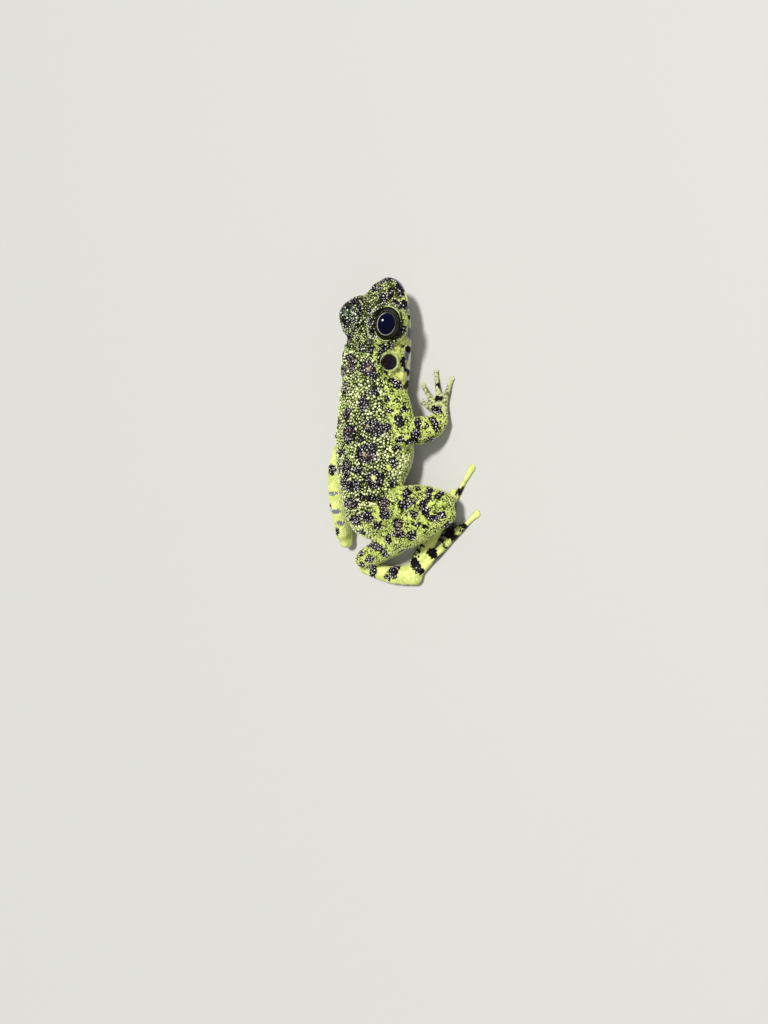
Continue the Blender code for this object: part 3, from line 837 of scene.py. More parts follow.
# Where the digits of each hand and foot spring from, and their tips, in mm along and across the ground
digits = {
    "hand_right": ((20.9, 11.2), ((9.3, 14.1), (9.5, 21.1), (16.3, 26.3), (24.3, 22.9))),
    "hand_left": ((-21.4, 32.0), ((-10.1, 39.5), (-15.7, 45.5), (-23.5, 50.5), (-29.9, 42.5))),
    "foot_right": ((8.4, -56.3), ((11.9, -40.1), (18.3, -31.1), (26.5, -19.5), (35.5, -9.5), (38.1, -28.1))),
    "foot_left": ((-31.0, -23.5), ((-24.1, -8.1), (-25.7, 1.5), (-28.1, 14.9), (-32.7, 27.1), (-36.5, 6.9))),
}


def spotOnSkin(tree, spot):
    # the spot's middle on the skin, and its two half axes there, from where the picture shows their ends
    x, y, halfWidth, halfHeight, *tilt = spot
    middle = seenOnSkin(tree, x, y)
    if middle is None:
        return None
    turn = math.radians(sum(tilt))
    c, s = math.cos(turn), math.sin(turn)
    axes = []
    for across, down, length in ((c, s, halfWidth), (-s, c, halfHeight)):
        ends = []
        for sign in (1, -1):
            end = seenOnSkin(tree, x + sign * across * length, y + sign * down * length)
            if end is not None and np.linalg.norm(end - middle) < length * 1.2 * mm:
                ends.append((end - middle) * sign)
        if not ends:
            right, top, _ = cameraAxes()
            ends = [np.array(right * across - top * down) * length * 0.4 * mm]
        axes.append(np.mean(ends, axis=0))
    return middle, axes[0], axes[1]


def distanceToSpot(points, spot):
    # about the distance in mm to the edge of an oval on the skin
    middle, first, second = spot
    size = max(np.linalg.norm(first), np.linalg.norm(second))
    near = lengths(points - middle) < size + mark["farAway"] * mm
    own = points[near] - middle
    facing = np.cross(first, second)
    facing /= np.linalg.norm(facing)
    places = own @ np.linalg.inv(np.stack((first, second, facing * size)))
    share = lengths(places)
    mean = math.sqrt(np.linalg.norm(first) * np.linalg.norm(second)) / mm
    found = np.full(len(points), mark["farAway"])
    found[near] = np.minimum((share - 1) * mean, mark["farAway"])
    return found


def distanceToSpots(points, tree, spots):
    least = np.full(len(points), mark["farAway"])
    middles = []
    for name, spot in spots.items():
        placed = spotOnSkin(tree, spot)
        if placed is None:
            print("  no skin under", name)
            continue
        middles.append(placed[0])
        least = np.minimum(least, distanceToSpot(points, placed))
    return least, middles


def hiddenSpots(points, normals, tree, taken, allowed):
    # blotches of like size where the picture doesn't reach
    camera = np.array(cameraPlace())
    draw = np.random.default_rng(mark["seed"])
    least = np.full(len(points), mark["farAway"])
    towards = camera - points
    towards /= lengths(towards)[:, None]
    facing = np.einsum("ij,ij->i", towards, normals)
    middles = list(taken)
    made = 0
    for index in draw.permutation(len(points)):
        if made >= mark["hiddenCount"]:
            break
        if not allowed[index]:
            continue
        if facing[index] > mark["seenFacing"]:
            start = Vector(points[index] + normals[index] * mark["seenLift"] * mm)
            if tree.ray_cast(start, Vector(towards[index]))[0] is None:
                continue
        if min(distanceTo(np.array(middles), points[index])) < mark["hiddenSpacing"]:
            continue
        middles.append(points[index])
        made += 1
        first = np.cross(normals[index], draw.normal(size=3))
        first /= np.linalg.norm(first)
        second = np.cross(normals[index], first)
        for _ in range(draw.integers(1, 4)):
            sizes = draw.uniform(*mark["hiddenSizes"], 2) * mm
            off = draw.uniform(-1, 1, 2) * mark["hiddenShift"] * mm
            middle = points[index] + first * off[0] + second * off[1]
            least = np.minimum(least, distanceToSpot(points, (middle, first * sizes[0], second * sizes[1])))
    print("  hidden blotches:", made)
    return least


def digitShares(points, name):
    # how far along its digit each point lies, and how far from that digit's line in mm
    root, tips = digits[name]
    share, least = np.zeros(len(points)), np.full(len(points), 1e3)
    own = points[:, :2] / mm
    for tip in tips:
        run = np.array(tip) - root
        along = (own - root) @ run / (run @ run)
        off = lengths(own - root - np.clip(along, 0, 1)[:, None] * run)
        closer = off < least
        share[closer], least[closer] = along[closer], off[closer]
    return share, least


def paintSkin(skin, carved):
    mesh = skin.data
    points, normals, edges = readPoints(mesh), readNormals(mesh), readEdges(mesh)
    owner, tree = np.array(fleshNodes)[readOwner(mesh)], skinTree(mesh)
    side, behind, height = headPlaces(points)
    low = points[:, 2] / mm
    isHead, isTorso = owner == "head", owner == "torso"
    isFoot, isHand = (np.char.startswith(owner, part) for part in ("foot", "hand"))
    isLimb = ~(isHead | isTorso)

    aboveMouth = height - mouthHeight(behind)
    eyeFar, drumFar = distanceToEither(points, "eye_"), distanceToEither(points, "eardrum_")

    # under side, belly and throat
    down = -normals[:, 2]
    under = ramp(*mark["under"], down) * np.where(isHead, ramp(*mark["jawHeight"], aboveMouth), 1)
    belly = np.where(isTorso, ramp(*mark["bellyHeight"], low) * ramp(*mark["bellyFacing"], down), 0)
    throat = isHead * ramp(*mark["throatBehind"], behind) * ramp(*mark["throatHeight"], aboveMouth)
    pale = np.maximum.reduce([under * 0.9, belly, throat])
    pale = spreadOut(np.where(isFoot | isHand, under * 0.5, pale), edges, 3)

    # limbs, cheeks and flanks are clear yellow-green, the back is granular on black
    top = np.where(side > 0, mark["cheekTop"]["right"], mark["cheekTop"]["left"])
    cheek = isHead * ramp(*mark["cheekSide"], np.abs(side)) * ramp(*mark["cheekBehind"], behind)
    cheek = cheek * ramp(top, top - mark["cheekFade"], height)
    ear = bump(0, mark["clearOfDrum"], drumFar)
    flank = isTorso * ramp(*mark["flankHeight"], low) * 0.55
    snout = isHead * (0.22 + 0.20 * ramp(*mark["snoutBehind"], behind)) + isTorso * 0.16
    clean = np.maximum.reduce([isFoot * 1.0, (owner == "shin_left") * 0.95, isHand * 0.5, cheek * 0.6])
    clean = spreadOut(clean, edges, 10)
    clear = spreadOut(np.maximum.reduce([isLimb * 1.0, cheek, ear * 0.9, flank, snout]), edges, 7)
    clear = np.maximum(clear, bump(*mark["foldAt"], carved["fold"]) * isHead * np.where(side > 0, 1, 0.3))
    # painted reflection: the granules on top of each lid's dome turn paler bluish white, as a wet dome
    # reflecting the sky
    lids = [nodeMiddle("eye_" + s) + np.array((0, 0, mark["skyReflectionUp"])) * mm for s in sides]
    skyReflection = np.maximum(*(bump(0, mark["skyReflectionSize"], distanceTo(points, lid)) for lid in lids)) * isHead
    # how much each point lies on a hand, for the hands' greyer colour: partly their own pale grey, partly
    # painted shade
    hand = spreadOut(isHand * 1.0, edges, 8)

    dark, taken = distanceToSpots(points, tree, darkSpots)
    allowed = (pale < 0.3) & (low > mark["clearOfGround"]) & ~isFoot & ~isHand
    allowed &= ~(isHead & (behind < mark["clearOfSnout"])) & ~((owner == "shin_left") & (normals[:, 0] > 0.1))
    allowed &= (eyeFar > mark["clearOfEye"]) & (drumFar > mark["clearOfDrum"])
    grow = mark["growOnHead"] * ramp(0.75, 0.5, clear) + mark["growOnCheek"] * ramp(0.5, 0.75, clear)
    grow = np.where(isHead, grow, mark["grow"])
    dark = np.minimum(dark, hiddenSpots(points, normals, tree, taken, allowed)) - grow
    dark = np.where(carved["socket"] > 0.05, np.minimum(dark, 0.6 - 2.0 * carved["socket"]), dark)
    grey, brown, gold, yellow = (
        distanceToSpots(points, tree, spots)[0] for spots in (greyBars, brownSpots, goldSpots, yellowSpots)
    )
    for gland in carved["glands"]:
        yellow = np.minimum(yellow, distanceTo(points, gland) - mark["glandSize"])

    # bars across the digits, pale tips, and the webs between the toes, whose dark colour is partly painted
    # shade
    tips, web = np.full(len(points), mark["farAway"]), np.zeros(len(points))
    for name, (root, ends) in digits.items():
        mine = owner == name
        share, off = digitShares(points, name)
        for tip in ends:
            far = distanceTo(points, np.array((*tip, mark["tipHeight"])) * mm) - mark["tipSize"]
            tips = np.where(mine, np.minimum(tips, far), tips)
        barred = mine & (off < mark["barReach"]) & (name != "hand_right")
        barred &= (share > 0.45) | (name != "foot_right")
        for middle, half in mark["digitBars"]:
            bar = (np.abs(share - middle) - half) * mark["barSteepness"]
            dark = np.where(barred, np.minimum(dark, np.clip(bar, -1, 4)), dark)
        if name.startswith("foot"):
            between = ramp(*mark["webFrom"], off) * ramp(*mark["webAlong"], share)
            web = np.where(mine, between * ramp(*mark["webHeight"], low), web)
    web = spreadOut(web, edges, 1)

    lip = np.maximum(*(bump(level, mark["lipWidth"], aboveMouth) for level in mark["lipHeights"]))
    lip = lip * (np.abs(normals[:, 2]) < 0.8) * isHead
    lip = lip * ramp(*mark["lipBehind"], behind - headShape["mouthReach"])

    # where granules grow
    bare = (carved["socket"] > 0.2) | (drumFar < drumShape["radius"] + mark["drumBare"])
    for s in sides:
        own = points - nodeMiddle("eye_" + s)
        inwards = np.einsum("ij,ij->i", own, normals) < 0.1 * lengths(own)
        bare |= inwards & (lengths(own) < carving["socketReach"] * mm)
    grown = (1 - ramp(0.25, 0.7, pale)) * ~bare * (1 - ramp(0.15, 0.5, carved["rim"]))
    grown = grown * (1 - ramp(0.2, 0.5, lip))
    outside, inside = ramp(-0.1, 0.5, dark), ramp(0.05, -0.35, dark)
    offDigit = ~((isFoot | isHand) & (low < mark["digitHeight"])) * 1.0
    onClear = ramp(0.4, 0.9, clear)
    trunk = isTorso | (isHead & (behind > mark["napeFrom"]))
    trunk = spreadOut(trunk * 1.0, edges, 4) * np.where(isTorso, 1, 1 - ramp(0.25, 0.8, clear))
    steep = ramp(0.97, 0.45, normals[:, 2]) * isTorso
    values = {
        "dark": dark, "grey": grey, "brown": brown, "gold": gold, "yellow": yellow, "pale": pale,
        "clear": clear, "tips": tips, "web": web, "lip": lip, "rim": carved["rim"], "behind": behind,
        "clean": clean, "skyReflection": skyReflection, "hand": hand,
        "granuleScale": 0.92 + 0.20 * spreadOut(steep, edges, 6),
        "growLarge": grown * outside * trunk,
        "growHead": 0.8 * grown * outside * (isHead & (behind < mark["headUpTo"])) * (1 - 0.75 * onClear),
        "growLimb": grown * outside * ramp(0.3, 0.8, clear) * isLimb * offDigit * (1 - 0.5 * clean),
        "growDots": grown * inside * offDigit,
        "growFine": grown * offDigit * (1 - 0.35 * onClear),
    }
    for name, layer in values.items():
        storeValues(mesh, name, layer)


# Granules, grown over the skin by one tree

fineGranules = {"Where": "growFine", "Spacing": 0.62, "Smallest": 0.13, "Largest": 0.24, "Flatness": 0.70,
                "Sides": 6, "Rings": 3}
granuleMake = {
    "large": {"Where": "growLarge", "Spacing": 1.06, "Smallest": 0.28, "Largest": 0.66, "Flatness": 0.76,
              "Sides": 8, "Rings": 5, "Seed": 3},
    "head": {"Where": "growHead", "Spacing": 0.84, "Smallest": 0.20, "Largest": 0.44, "Flatness": 0.75,
             "Seed": 5},
    "limb": {"Where": "growLimb", "Spacing": 0.86, "Smallest": 0.20, "Largest": 0.42, "Flatness": 0.66,
             "Seed": 8},
    "dots": {"Where": "growDots", "Spacing": 1.02, "Smallest": 0.17, "Largest": 0.36, "Flatness": 0.90,
             "Seed": 13},
    "fineFront": {**fineGranules, "Seed": 21, "From": 0.012},
    "fineRear": {**fineGranules, "Seed": 22, "To": 0.012},
}
granuleSockets = {
    "Geometry": "Geometry", "Where": "String", "Spacing": "Float", "Smallest": "Float", "Largest": "Float",
    "Flatness": "Float", "Sides": "Int", "Rings": "Int", "Seed": "Int", "From": "Float", "To": "Float",
    "Patch": "Float", "Finish": "Material",
}
granuleUsual = {"Sides": 7, "Rings": 4, "From": -1.0, "To": 1.0, "Patch": 0.003}
granuleUnits = {"Spacing": mm, "Smallest": mm, "Largest": mm}
granuleStretch = (0.80, 1.45)  # how long each is for its width
granuleDensity = 2e7  # per square metre before the spacing thins them
granuleSeeds = {"tone": 77, "stretch": 41, "turn": 43}
unwrapMake = {"foldAngle": 66, "margin": 0.002}


def unwrapSkin(skin):
    # an unwrap of the skin's own shape, which the granules take their place on
    bpy.context.view_layer.objects.active = skin
    skin.select_set(True)
    skin.data.uv_layers.new(name="skinUnwrap")
    bpy.ops.object.mode_set(mode="EDIT")
    bpy.ops.mesh.select_all(action="SELECT")
    angle = math.radians(unwrapMake["foldAngle"])
    bpy.ops.uv.smart_project(angle_limit=angle, island_margin=unwrapMake["margin"])
    bpy.ops.object.mode_set(mode="OBJECT")


def makeGranuleTree():
    tree = bpy.data.node_groups.new("granules", "GeometryNodeTree")
    for name, kind in granuleSockets.items():
        socket = tree.interface.new_socket(name=name, in_out="INPUT", socket_type="NodeSocket" + kind)
        if name in granuleUsual:
            socket.default_value = granuleUsual[name]
    tree.interface.new_socket(name="Geometry", in_out="OUTPUT", socket_type="NodeSocketGeometry")
    w = Wiring(tree)
    given = w.node("NodeGroupInput").outputs

    def named(name, kind="FLOAT"):
        return w.node("GeometryNodeInputNamedAttribute", {"data_type": kind}, Name=name).outputs[0]

    def keep(target, name, value, kind="FLOAT", domain="POINT"):
        layer = {"data_type": kind, "domain": domain}
        stored = w.node("GeometryNodeStoreNamedAttribute", layer, Geometry=target, Name=name, Value=value)
        return stored.outputs[0]

    def drawn(low, high, seed):
        made = w.node("FunctionNodeRandomValue", {"data_type": "FLOAT"}, {2: low, 3: high}, Seed=seed)
        return made.outputs[1]

    def compared(operation, first, second):
        return w.node("FunctionNodeCompare", {"operation": operation}, {0: first, 1: second}).outputs[0]

    # where: the named values of the skin, between two places along the body
    here = w.node("GeometryNodeInputPosition").outputs[0]
    along = w.node("ShaderNodeSeparateXYZ", Vector=here).outputs["Y"]
    past, short = compared("GREATER_EQUAL", along, given["From"]), compared("LESS_THAN", along, given["To"])
    scatter = w.node(
        "GeometryNodeDistributePointsOnFaces", {"distribute_method": "POISSON"},
        Mesh=given["Geometry"],
        Selection=w.node("FunctionNodeBooleanMath", {"operation": "AND"}, {0: past, 1: short}).outputs[0],
        Distance_Min=given["Spacing"],
        Density_Max=granuleDensity,
        Density_Factor=named(given["Where"]),
        Seed=given["Seed"],
    )

    # each one's size and tone
    size = w.times(drawn(given["Smallest"], given["Largest"], given["Seed"]), named("granuleScale"))
    roots = keep(scatter.outputs["Points"], "granuleSize", size)
    roots = keep(roots, "tone", drawn(0.0, 1.0, granuleSeeds["tone"]))

    # one round granule, with its own place kept for the unwrap
    ball = w.node("GeometryNodeMeshUVSphere", Radius=1.0, Segments=given["Sides"], Rings=given["Rings"])
    onBall = w.node("GeometryNodeInputPosition").outputs[0]
    ball = keep(ball.outputs["Mesh"], "granulePlace", onBall, "FLOAT_VECTOR")
    wide = named("granuleSize")
    long = w.times(wide, drawn(*granuleStretch, granuleSeeds["stretch"]))
    scale = w.node("ShaderNodeCombineXYZ", X=long, Y=wide, Z=w.times(wide, given["Flatness"]))
    turn = drawn(0.0, 2 * math.pi, granuleSeeds["turn"])
    spin = w.node("FunctionNodeAxisAngleToRotation", Axis=(0, 0, 1), Angle=turn)
    turned = w.node(
        "FunctionNodeRotateRotation", {"rotation_space": "LOCAL"},
        Rotation=scatter.outputs["Rotation"], Rotate_By=spin.outputs[0],
    )
    plant = w.node(
        "GeometryNodeInstanceOnPoints",
        Points=roots, Instance=ball, Rotation=turned.outputs[0], Scale=scale.outputs[0],
    )
    real = w.node("GeometryNodeRealizeInstances", Geometry=plant.outputs[0]).outputs[0]

    # the bake's map: a small patch at the root's place
    own, root = named("granulePlace", "FLOAT_VECTOR"), named("skinUnwrap", "FLOAT_VECTOR")
    half = w.times(given["Patch"], 0.5)
    spread = w.node("ShaderNodeVectorMath", {"operation": "SCALE"}, {0: own}, Scale=half).outputs[0]
    total = w.node("ShaderNodeVectorMath", {"operation": "ADD"}, {0: root, 1: spread}).outputs[0]
    baked = keep(real, "OFBake", total, "FLOAT2", "CORNER")
    smooth = w.node("GeometryNodeSetShadeSmooth", Geometry=baked).outputs[0]
    finish = w.node("GeometryNodeSetMaterial", Geometry=smooth, Material=given["Finish"]).outputs[0]
    w.node("NodeGroupOutput", None, {0: finish})
    return tree


def growGranules(skin, tree, name, sizes, finish):
    made = newObject("granules_" + name, skin.data.copy())
    grow = made.modifiers.new("grow", "NODES")
    grow.node_group = tree
    keys = {item.name: item.identifier for item in tree.interface.items_tree if item.in_out == "INPUT"}
    for key, value in sizes.items():
        grow[keys[key]] = value * granuleUnits[key] if key in granuleUnits else value
    grow[keys["Finish"]] = finish
    settled(made)
    for spare in ("granulePlace", "granuleScale", "skinUnwrap", "granuleSize", "owner"):
        if spare in made.data.attributes:
            made.data.attributes.remove(made.data.attributes[spare])
    made.data.calc_loop_triangles()
    print(f"  {made.name}: {len(made.data.loop_triangles)} triangles")
    return made


# Eyes and eardrums

drumShape = {
    "radius": 2.85,  # mm
    "depth": 0.5,
    "dish": 0.22,
    "knob": 0.20,
    "knobSize": 0.9,
    "out": 0.30,
    "edgeDrop": 0.15,
    "rings": 14,
    "turns": 48,
}
eyeMesh = {"segments": 112, "rings": 72, "cornea": 0.35, "corneaFrom": 52.0}


def makeEye(side, finish):
    along, across, gaze = eyeAxes(side)
    work = bmesh.new()
    bmesh.ops.create_uvsphere(work, u_segments=eyeMesh["segments"], v_segments=eyeMesh["rings"], radius=1)
    mesh = takeMesh(work, "eyeball_" + side)
    own = readPoints(mesh)
    place = mesh.attributes.new("eyePlace", "FLOAT_VECTOR", "POINT")
    place.data.foreach_set("vector", own.astype(np.float32).ravel())
    bulge = eyeMesh["cornea"] * ramp(math.cos(math.radians(eyeMesh["corneaFrom"])), 1.0, own[:, 2])
    sizes = np.array(eyeShape["radii"]) + bulge[:, None]
    turned = (own * sizes) @ np.stack((along, across * -sides[side], gaze))
    writePoints(mesh, nodeMiddle("eye_" + side) + turned * mm)
    faceOutwards(mesh).shade_smooth()
    mesh.materials.append(finish)
    return newObject("eyeball_" + side, mesh)


def drumAxes(side):
    # the eardrum's own directions: the thinnest way of its solid points outwards
    points = readPoints(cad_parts["eardrum_" + side].data)
    middle = nodeMiddle("eardrum_" + side)
    ways = np.linalg.eigh((points - middle).T @ (points - middle))[1]
    out = ways[:, 0]
    _, right = headAxes()
    out = out * np.sign(out @ right) * sides[side]
    return ways[:, 1], np.cross(out, ways[:, 1]), out


def makeDrum(side, finish):
    first, second, out = drumAxes(side)
    work = bmesh.new()
    rings, turns = drumShape["rings"], drumShape["turns"]
    circle = np.linspace(0, 2 * math.pi, turns, False)
    layers = []
    for i in range(1, rings + 1):
        r = drumShape["radius"] * i / rings
        level = drumShape["knob"] * math.exp(-(r / drumShape["knobSize"]) ** 2)
        level += drumShape["dish"] * (i / rings) ** 2
        level -= drumShape["edgeDrop"] * float(ramp(0.85, 1.0, i / rings))
        layers.append([(r * math.cos(a), r * math.sin(a), level) for a in circle])
    layers.append([(x, y, -drumShape["depth"]) for x, y, _ in layers[-1]])
    verts = [[work.verts.new(p) for p in layer] for layer in layers]
    top = work.verts.new((0, 0, drumShape["knob"]))
    for i in range(turns):
        j = (i + 1) % turns
        work.faces.new((top, verts[0][i], verts[0][j]))
        for near, far in zip(verts, verts[1:]):
            work.faces.new((near[i], far[i], far[j], near[j]))
    work.faces.new(verts[-1][::-1])
    mesh = takeMesh(work, "drum_" + side)
    own = readPoints(mesh)
    own[:, 2] += drumShape["out"]
    writePoints(mesh, nodeMiddle("eardrum_" + side) + own @ np.stack((first, second, out)) * mm)
    faceOutwards(mesh).shade_smooth()
    mesh.materials.append(finish)
    return newObject("eardrumSkin_" + side, mesh)


# Finishes

colours = {
    "black": (0.004, 0.006, 0.002),
    "olive": (0.11, 0.155, 0.012),
    "green": (0.30, 0.39, 0.06),
    "tarsusGreen": (0.56, 0.65, 0.18),
    "yellowGreen": (0.62, 0.72, 0.17),
    "paleYellow": (0.74, 0.78, 0.27),
    # the hands' greyer colour, partly their own and partly painted shade
    "handGreyAndShade": (0.48, 0.52, 0.29),
    "line": (0.016, 0.022, 0.005),
    "blotch": (0.004, 0.003, 0.005),
    "blotchSoft": (0.011, 0.008, 0.012),
    "brown": (0.055, 0.030, 0.028),
    "brownDot": (0.52, 0.36, 0.30),
    "goldDot": (0.80, 0.72, 0.46),
    "gold": (0.46, 0.38, 0.22),
    "yellow": (0.74, 0.77, 0.24),
    "pale": (0.66, 0.66, 0.54),
    "paleGrey": (0.30, 0.32, 0.34),
    "lavender": (0.17, 0.17, 0.23),
    "lipPale": (0.58, 0.64, 0.32),
    # the webs' darkest colour, partly their own and partly painted shade
    "webDarkAndShade": (0.012, 0.013, 0.016),
    "webPale": (0.16, 0.17, 0.14),
    "tip": (0.50, 0.54, 0.36),
    "rim": (0.46, 0.55, 0.22),
    "limeLow": (0.32, 0.44, 0.08),
    "limeHigh": (0.98, 1.0, 0.58),
    # painted reflection of the sky on the wet lid domes
    "skyReflection": (0.78, 0.90, 0.92),
    "dotLow": (0.22, 0.20, 0.22),
    "dotHigh": (0.98, 0.96, 0.96),
    "pupil": (0.0003, 0.0008, 0.016),
    "ring": (0.50, 0.50, 0.42),
    "ringDim": (0.07, 0.065, 0.045),
    "iris": (0.004, 0.0035, 0.003),
    "irisFleck": (0.26, 0.23, 0.12),
    "irisEdge": (0.007, 0.008, 0.006),
    "drumDark": (0.005, 0.003, 0.006),
    "drumLight": (0.017, 0.009, 0.017),
}
skinFinish = {
    "wobble": 3.0,  # mm, how far a marking's edge wanders from one side to the other
    "fineWobble": 1.1,
    "wobbleScale": 850.0,
    "fleckScale": 2400.0,
    "broadScale": 260.0,
    "streakScale": 900.0,
    "reliefScale": 1700.0,
    "fleck": (0.56, 0.64),  # levels of the noise that a colour turns between
    "streak": (0.50, 0.55),
    "blotchCloud": (0.4, 0.7),
    "litEdge": (0.96, 1.04),
    "barTurn": 0.75,  # of the lip's bars, for each mm along the head
    "webTurn": -40,  # degrees, of the streaks in the webs
    "roughness": 0.35,
    "roughnessSpread": 0.22,
}
valueLevels = {  # levels of the skin's own values that a colour turns between
    "clear": (0.25, 0.75),
    "clean": (1.1, 0.2),
    "pale": (0.35, 0.75),
    "lip": (0.30, 0.75),
    "web": (0.3, 0.7),
    "rim": (0.30, 0.65),
}
softEdges = {"tips": 0.4, "grey": 0.14, "dark": 0.14, "brown": 0.5, "gold": 0.3, "yellow": 0.2}  # mm
clouds = {  # noise scale, detail, and the two levels that a colour turns between
    "limb": (430.0, 3.0, 0.42, 0.58),
    "clean": (330.0, 4.0, 0.44, 0.62),
    "mottle": (420.0, 2.0, 0.52, 0.64),
    "web": (1300.0, 2.0, 0.45, 0.62),
    "iris": (17.0, 4.0, 0.61, 0.69),
    "drum": (500.0, 3.0, 0.40, 0.70),
}
wetSkin = {"output": "Ground", "litShare": 1.0, "specular": 0.08, "smoother": 0.0, "bump": 0.12 * mm}
wetGranule = {"output": "Granule", "litShare": 1.1, "specular": 0.45, "smoother": 0.16, "bump": 0}
wetFineGranule = {"output": "Granule", "litShare": 0.42, "specular": 0.35, "smoother": 0.10, "bump": 0}


def makeColourGroup():
    # the markings as colours, for the skin between the granules and for the granules themselves
    group = bpy.data.node_groups.new("frogColours", "ShaderNodeTree")
    group.interface.new_socket(name="Lit share", in_out="INPUT", socket_type="NodeSocketFloat")
    results = {"Ground": "Color", "Granule": "Color", "Roughness": "Float", "Height": "Float"}
    for name, kind in results.items():
        group.interface.new_socket(name=name, in_out="OUTPUT", socket_type="NodeSocket" + kind)
    w = Colouring(group)
    given = w.node("NodeGroupInput").outputs
    place = w.node("ShaderNodeTexCoord").outputs["Object"]
    wander = w.noise(place, skinFinish["wobbleScale"])
    fleck = w.noise(place, skinFinish["fleckScale"])
    broad = w.noise(place, skinFinish["broadScale"])
    wobble = w.times(w.maths("SUBTRACT", wander, 0.5), skinFinish["wobble"])
    wobble = w.plus(wobble, w.times(w.maths("SUBTRACT", fleck, 0.5), skinFinish["fineWobble"]))

    def within(name, soft):
        # 1 inside a marking, whose distance in mm the skin holds, with a wandering edge
        return w.between(w.plus(w.value(name), wobble), soft, -soft)

    def valued(name, sway=0.0):
        # from 0 to 1 between the two levels of one of the skin's own values
        return w.between(w.plus(w.value(name), w.times(wobble, sway)), *valueLevels[name])

    # the clear limbs and the flecked back
    clear = valued("clear", 0.25)
    back = w.mix(w.between(fleck, *skinFinish["fleck"]), "black", "olive")
    limb = w.mix(w.cloud(place, *clouds["limb"]), "green", "yellowGreen")
    limb = w.mix(w.value("clean"), limb, w.mix(w.cloud(place, *clouds["clean"]), "paleYellow", "tarsusGreen"))
    # the hands turn greyer: partly their own pale grey, partly painted shade
    limb = w.mix(w.times(w.value("hand"), 0.8), limb, "handGreyAndShade")
    streak = w.noise(place, skinFinish["streakScale"], 4.0)
    streak = w.plus(streak, w.times(w.maths("SUBTRACT", broad, 0.5), 0.25))
    broken = w.times(w.between(streak, *skinFinish["streak"]), valued("clean"))
    ground = w.mix(clear, back, w.mix(broken, limb, "line"))

    # the under side, the lip's bars and the webs
    under = w.mix(w.times(w.cloud(place, *clouds["mottle"]), 0.5), "pale", "paleGrey")
    along = w.plus(w.value("behind"), w.times(wobble, 1.6))
    bars = w.between(w.maths("SINE", w.times(along, skinFinish["barTurn"])), -0.5, 0.4)
    turn = (0, 0, math.radians(skinFinish["webTurn"]))
    streaks = w.node("ShaderNodeMapping", Vector=place, Rotation=turn, Scale=(0.25, 1, 1))
    # the webs: dark streaks, partly the webs' own colour and partly painted shade low between the toes
    web = w.mix(w.cloud(streaks.outputs[0], *clouds["web"]), "webDarkAndShade", "webPale")
    onUnder = valued("pale")

    # the tips of the digits and the markings, each laid over those before it
    tips, grey, dark, brown, gold, yellow = (within(name, width) for name, width in softEdges.items())
    blotch = w.mix(w.between(wander, *skinFinish["blotchCloud"]), "blotch", "blotchSoft")
    for share, colour in (
        (onUnder, under), (valued("lip", 0.3), w.mix(bars, "lipPale", "lavender")), (valued("web"), web),
        (tips, "tip"), (grey, "lavender"), (dark, blotch), (w.times(brown, 0.3), "brown"),
        (w.times(gold, 0.8), "gold"), (yellow, "yellow"), (valued("rim"), "rim"),
    ):
        ground = w.mix(share, ground, colour)

    # the granules, of which only a share is lit
    tone = w.value("tone")
    lime = w.mix(w.times(clear, 0.5), w.mix(tone, "limeLow", "limeHigh"), "yellowGreen")
    dot = w.mix(w.times(brown, 0.45), w.mix(tone, "dotLow", "dotHigh"), "brownDot")
    # painted reflection of the sky: granules on the lids' domes turn paler bluish white
    grain = w.mix(dark, w.mix(w.value("skyReflection"), lime, "skyReflection"), dot)
    for share, colour in ((w.times(gold, 0.85), "goldDot"), (yellow, "yellow"), (onUnder, under)):
        grain = w.mix(share, grain, colour)
    lit = w.times(given["Lit share"], w.between(dark, 2.8, 0.0))
    lit = w.between(w.plus(lit, tone), *skinFinish["litEdge"])

    roughness = w.plus(w.times(wander, skinFinish["roughnessSpread"]), skinFinish["roughness"])
    height = w.noise(place, skinFinish["reliefScale"], 3.0)
    w.node("NodeGroupOutput", None, dict(enumerate((ground, w.mix(lit, ground, grain), roughness, height))))
    return group


def makeSkinFinish(name, group, kind):
    finish, w, shader = newFinish(name)
    colour = w.node("ShaderNodeGroup", {"node_tree": group}, {"Lit share": kind["litShare"]}).outputs
    roughness = w.maths("SUBTRACT", colour["Roughness"], kind["smoother"])
    w.fill(shader, Base_Color=colour[kind["output"]], Roughness=roughness)
    w.fill(shader, Specular_IOR_Level=kind["specular"])
    if kind["bump"]:
        relief = w.node("ShaderNodeBump", Height=colour["Height"], Distance=kind["bump"], Strength=0.8)
        w.fill(shader, Normal=relief.outputs[0])
    return finish


irisFinish = {
    "pupilMiddle": (-0.05, -0.04),  # share of the ball's half size, along the head and across it
    "pupilSize": (0.555, 0.465),
    "ringInside": (0.985, 1.01),  # shares of the pupil's size
    "ringOutside": (1.03, 1.075),
    "edge": (1.34, 1.46),
    "edgeAhead": (-0.15, 0.35),  # share of the ball's half size
    "ringDim": (0.05, 0.45),
    "roughness": 0.035,
    "specular": 0.20,
}
eardrumFinish = {"roughness": 0.20, "roughnessSpread": 0.2, "grainScale": 1500.0, "specular": 0.22}


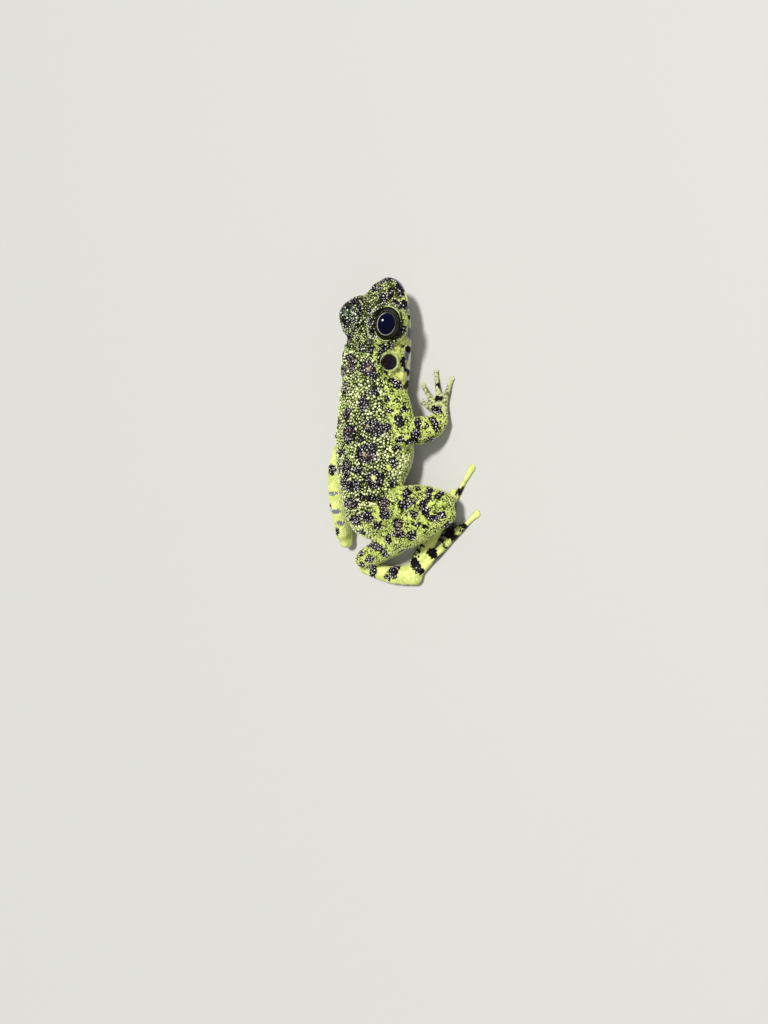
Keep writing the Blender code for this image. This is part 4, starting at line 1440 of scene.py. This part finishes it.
def makeEyeFinish():
    finish, w, shader = newFinish("eyeWet")
    place = w.node("ShaderNodeAttribute", {"attribute_name": "eyePlace"}).outputs["Vector"]
    (x, y), (wide, high) = irisFinish["pupilMiddle"], irisFinish["pupilSize"]
    centred = w.node(
        "ShaderNodeMapping", Vector=place, Location=(-x / wide, -y / high, 0), Scale=(1 / wide, 1 / high, 0),
    )
    share = w.node("ShaderNodeVectorMath", {"operation": "LENGTH"}, {0: centred.outputs[0]}).outputs["Value"]
    iris = w.mix(w.cloud(place, *clouds["iris"]), "iris", "irisFleck")
    ahead, below, _ = w.node("ShaderNodeSeparateXYZ", Vector=place).outputs
    edge = w.times(w.between(share, *irisFinish["edge"]), w.between(ahead, *irisFinish["edgeAhead"]))
    ring = w.mix(w.between(w.plus(ahead, below), *irisFinish["ringDim"]), "ring", "ringDim")
    ring = w.mix(w.between(share, *irisFinish["ringOutside"]), ring, w.mix(edge, iris, "irisEdge"))
    colour = w.mix(w.between(share, *irisFinish["ringInside"]), "pupil", ring)
    roughness, specular = irisFinish["roughness"], irisFinish["specular"]
    w.fill(shader, Base_Color=colour, Roughness=roughness, Specular_IOR_Level=specular)
    return finish


def makeDrumFinish():
    finish, w, shader = newFinish("eardrumWet")
    place = w.node("ShaderNodeTexCoord").outputs["Object"]
    colour = w.mix(w.cloud(place, *clouds["drum"]), "drumDark", "drumLight")
    grain = w.times(w.noise(place, eardrumFinish["grainScale"]), eardrumFinish["roughnessSpread"])
    roughness = w.plus(grain, eardrumFinish["roughness"])
    w.fill(shader, Base_Color=colour, Roughness=roughness, Specular_IOR_Level=eardrumFinish["specular"])
    return finish


# Floor and light

stageMake = {
    "floorSize": 6.0,
    "floorColour": (0.56, 0.56, 0.545, 1),
    "floorRoughness": 0.7,
    "keyFrom": (0.136, 0.341, 0.930),
    "keyAngle": 10.0,  # degrees across, as a soft box is seen from the frog
    "keyStrength": 3.5,
    "fillFrom": (0.60, -0.50, 0.55),
    "fillAngle": 70.0,
    "fillStrength": 0.35,
    "keyColour": (1.0, 0.985, 0.95),
    "fillColour": (1.0, 1.0, 0.98),
    "worldColour": (0.98, 1.0, 0.97, 1),
    "worldStrength": 0.28,
}


def softLight(name):
    data = bpy.data.lights.new(name, "SUN")
    data.angle = math.radians(stageMake[name + "Angle"])
    data.energy, data.color = stageMake[name + "Strength"], stageMake[name + "Colour"]
    made = newObject(name, data)
    made.rotation_euler = (-Vector(stageMake[name + "From"])).to_track_quat("-Z", "Y").to_euler()
    return made


def makeStage():
    work = bmesh.new()
    bmesh.ops.create_grid(work, x_segments=1, y_segments=1, size=stageMake["floorSize"])
    mesh = takeMesh(work, "floor")
    floor = newObject("floor", mesh)
    finish, w, shader = newFinish("paleFloor")
    w.fill(shader, Base_Color=stageMake["floorColour"], Roughness=stageMake["floorRoughness"])
    mesh.materials.append(finish)
    softLight("key")
    softLight("fill").visible_glossy = False
    world = bpy.data.worlds.new("softLight")
    world.use_nodes = True
    sky = world.node_tree.nodes["Background"]
    Wiring(world.node_tree).fill(sky, Color=stageMake["worldColour"], Strength=stageMake["worldStrength"])
    bpy.context.scene.world = world
    bpy.context.scene.view_settings.view_transform = "Standard"  # full colour, without a film curve


makeCamera()
makeStage()
print("camera and stage made")
skin = makeSkin()
carved = carveHead(skin)
print("skin made and carved")
paintSkin(skin, carved)
print("markings laid on the skin")
unwrapSkin(skin)
print("skin unwrapped")
colourGroup = makeColourGroup()
skin.data.materials.clear()
skin.data.materials.append(makeSkinFinish("frogSkinWet", colourGroup, wetSkin))
granuleFinish = makeSkinFinish("granuleWet", colourGroup, wetGranule)
fineFinish = makeSkinFinish("fineGranuleWet", colourGroup, wetFineGranule)
granuleTree = makeGranuleTree()
coat = []
for name, sizes in granuleMake.items():
    coat.append(growGranules(skin, granuleTree, name, sizes, fineFinish if "fine" in name else granuleFinish))
print("granules grown")
eyeFinish, drumFinish = makeEyeFinish(), makeDrumFinish()
for side in sides:
    eye, drum = makeEye(side, eyeFinish), makeDrum(side, drumFinish)
    for piece, node, slot in ((eye, "eye_", "eye"), (drum, "eardrum_", "eardrum")):
        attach(piece, "root")
        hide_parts(node + side)
print("eyes and eardrums made")
skin.data.attributes.remove(skin.data.attributes["owner"])
skin.data.uv_layers.remove(skin.data.uv_layers["skinUnwrap"])
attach(skin, "root")
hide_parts(*fleshNodes)
for piece in coat:
    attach(piece, "root")
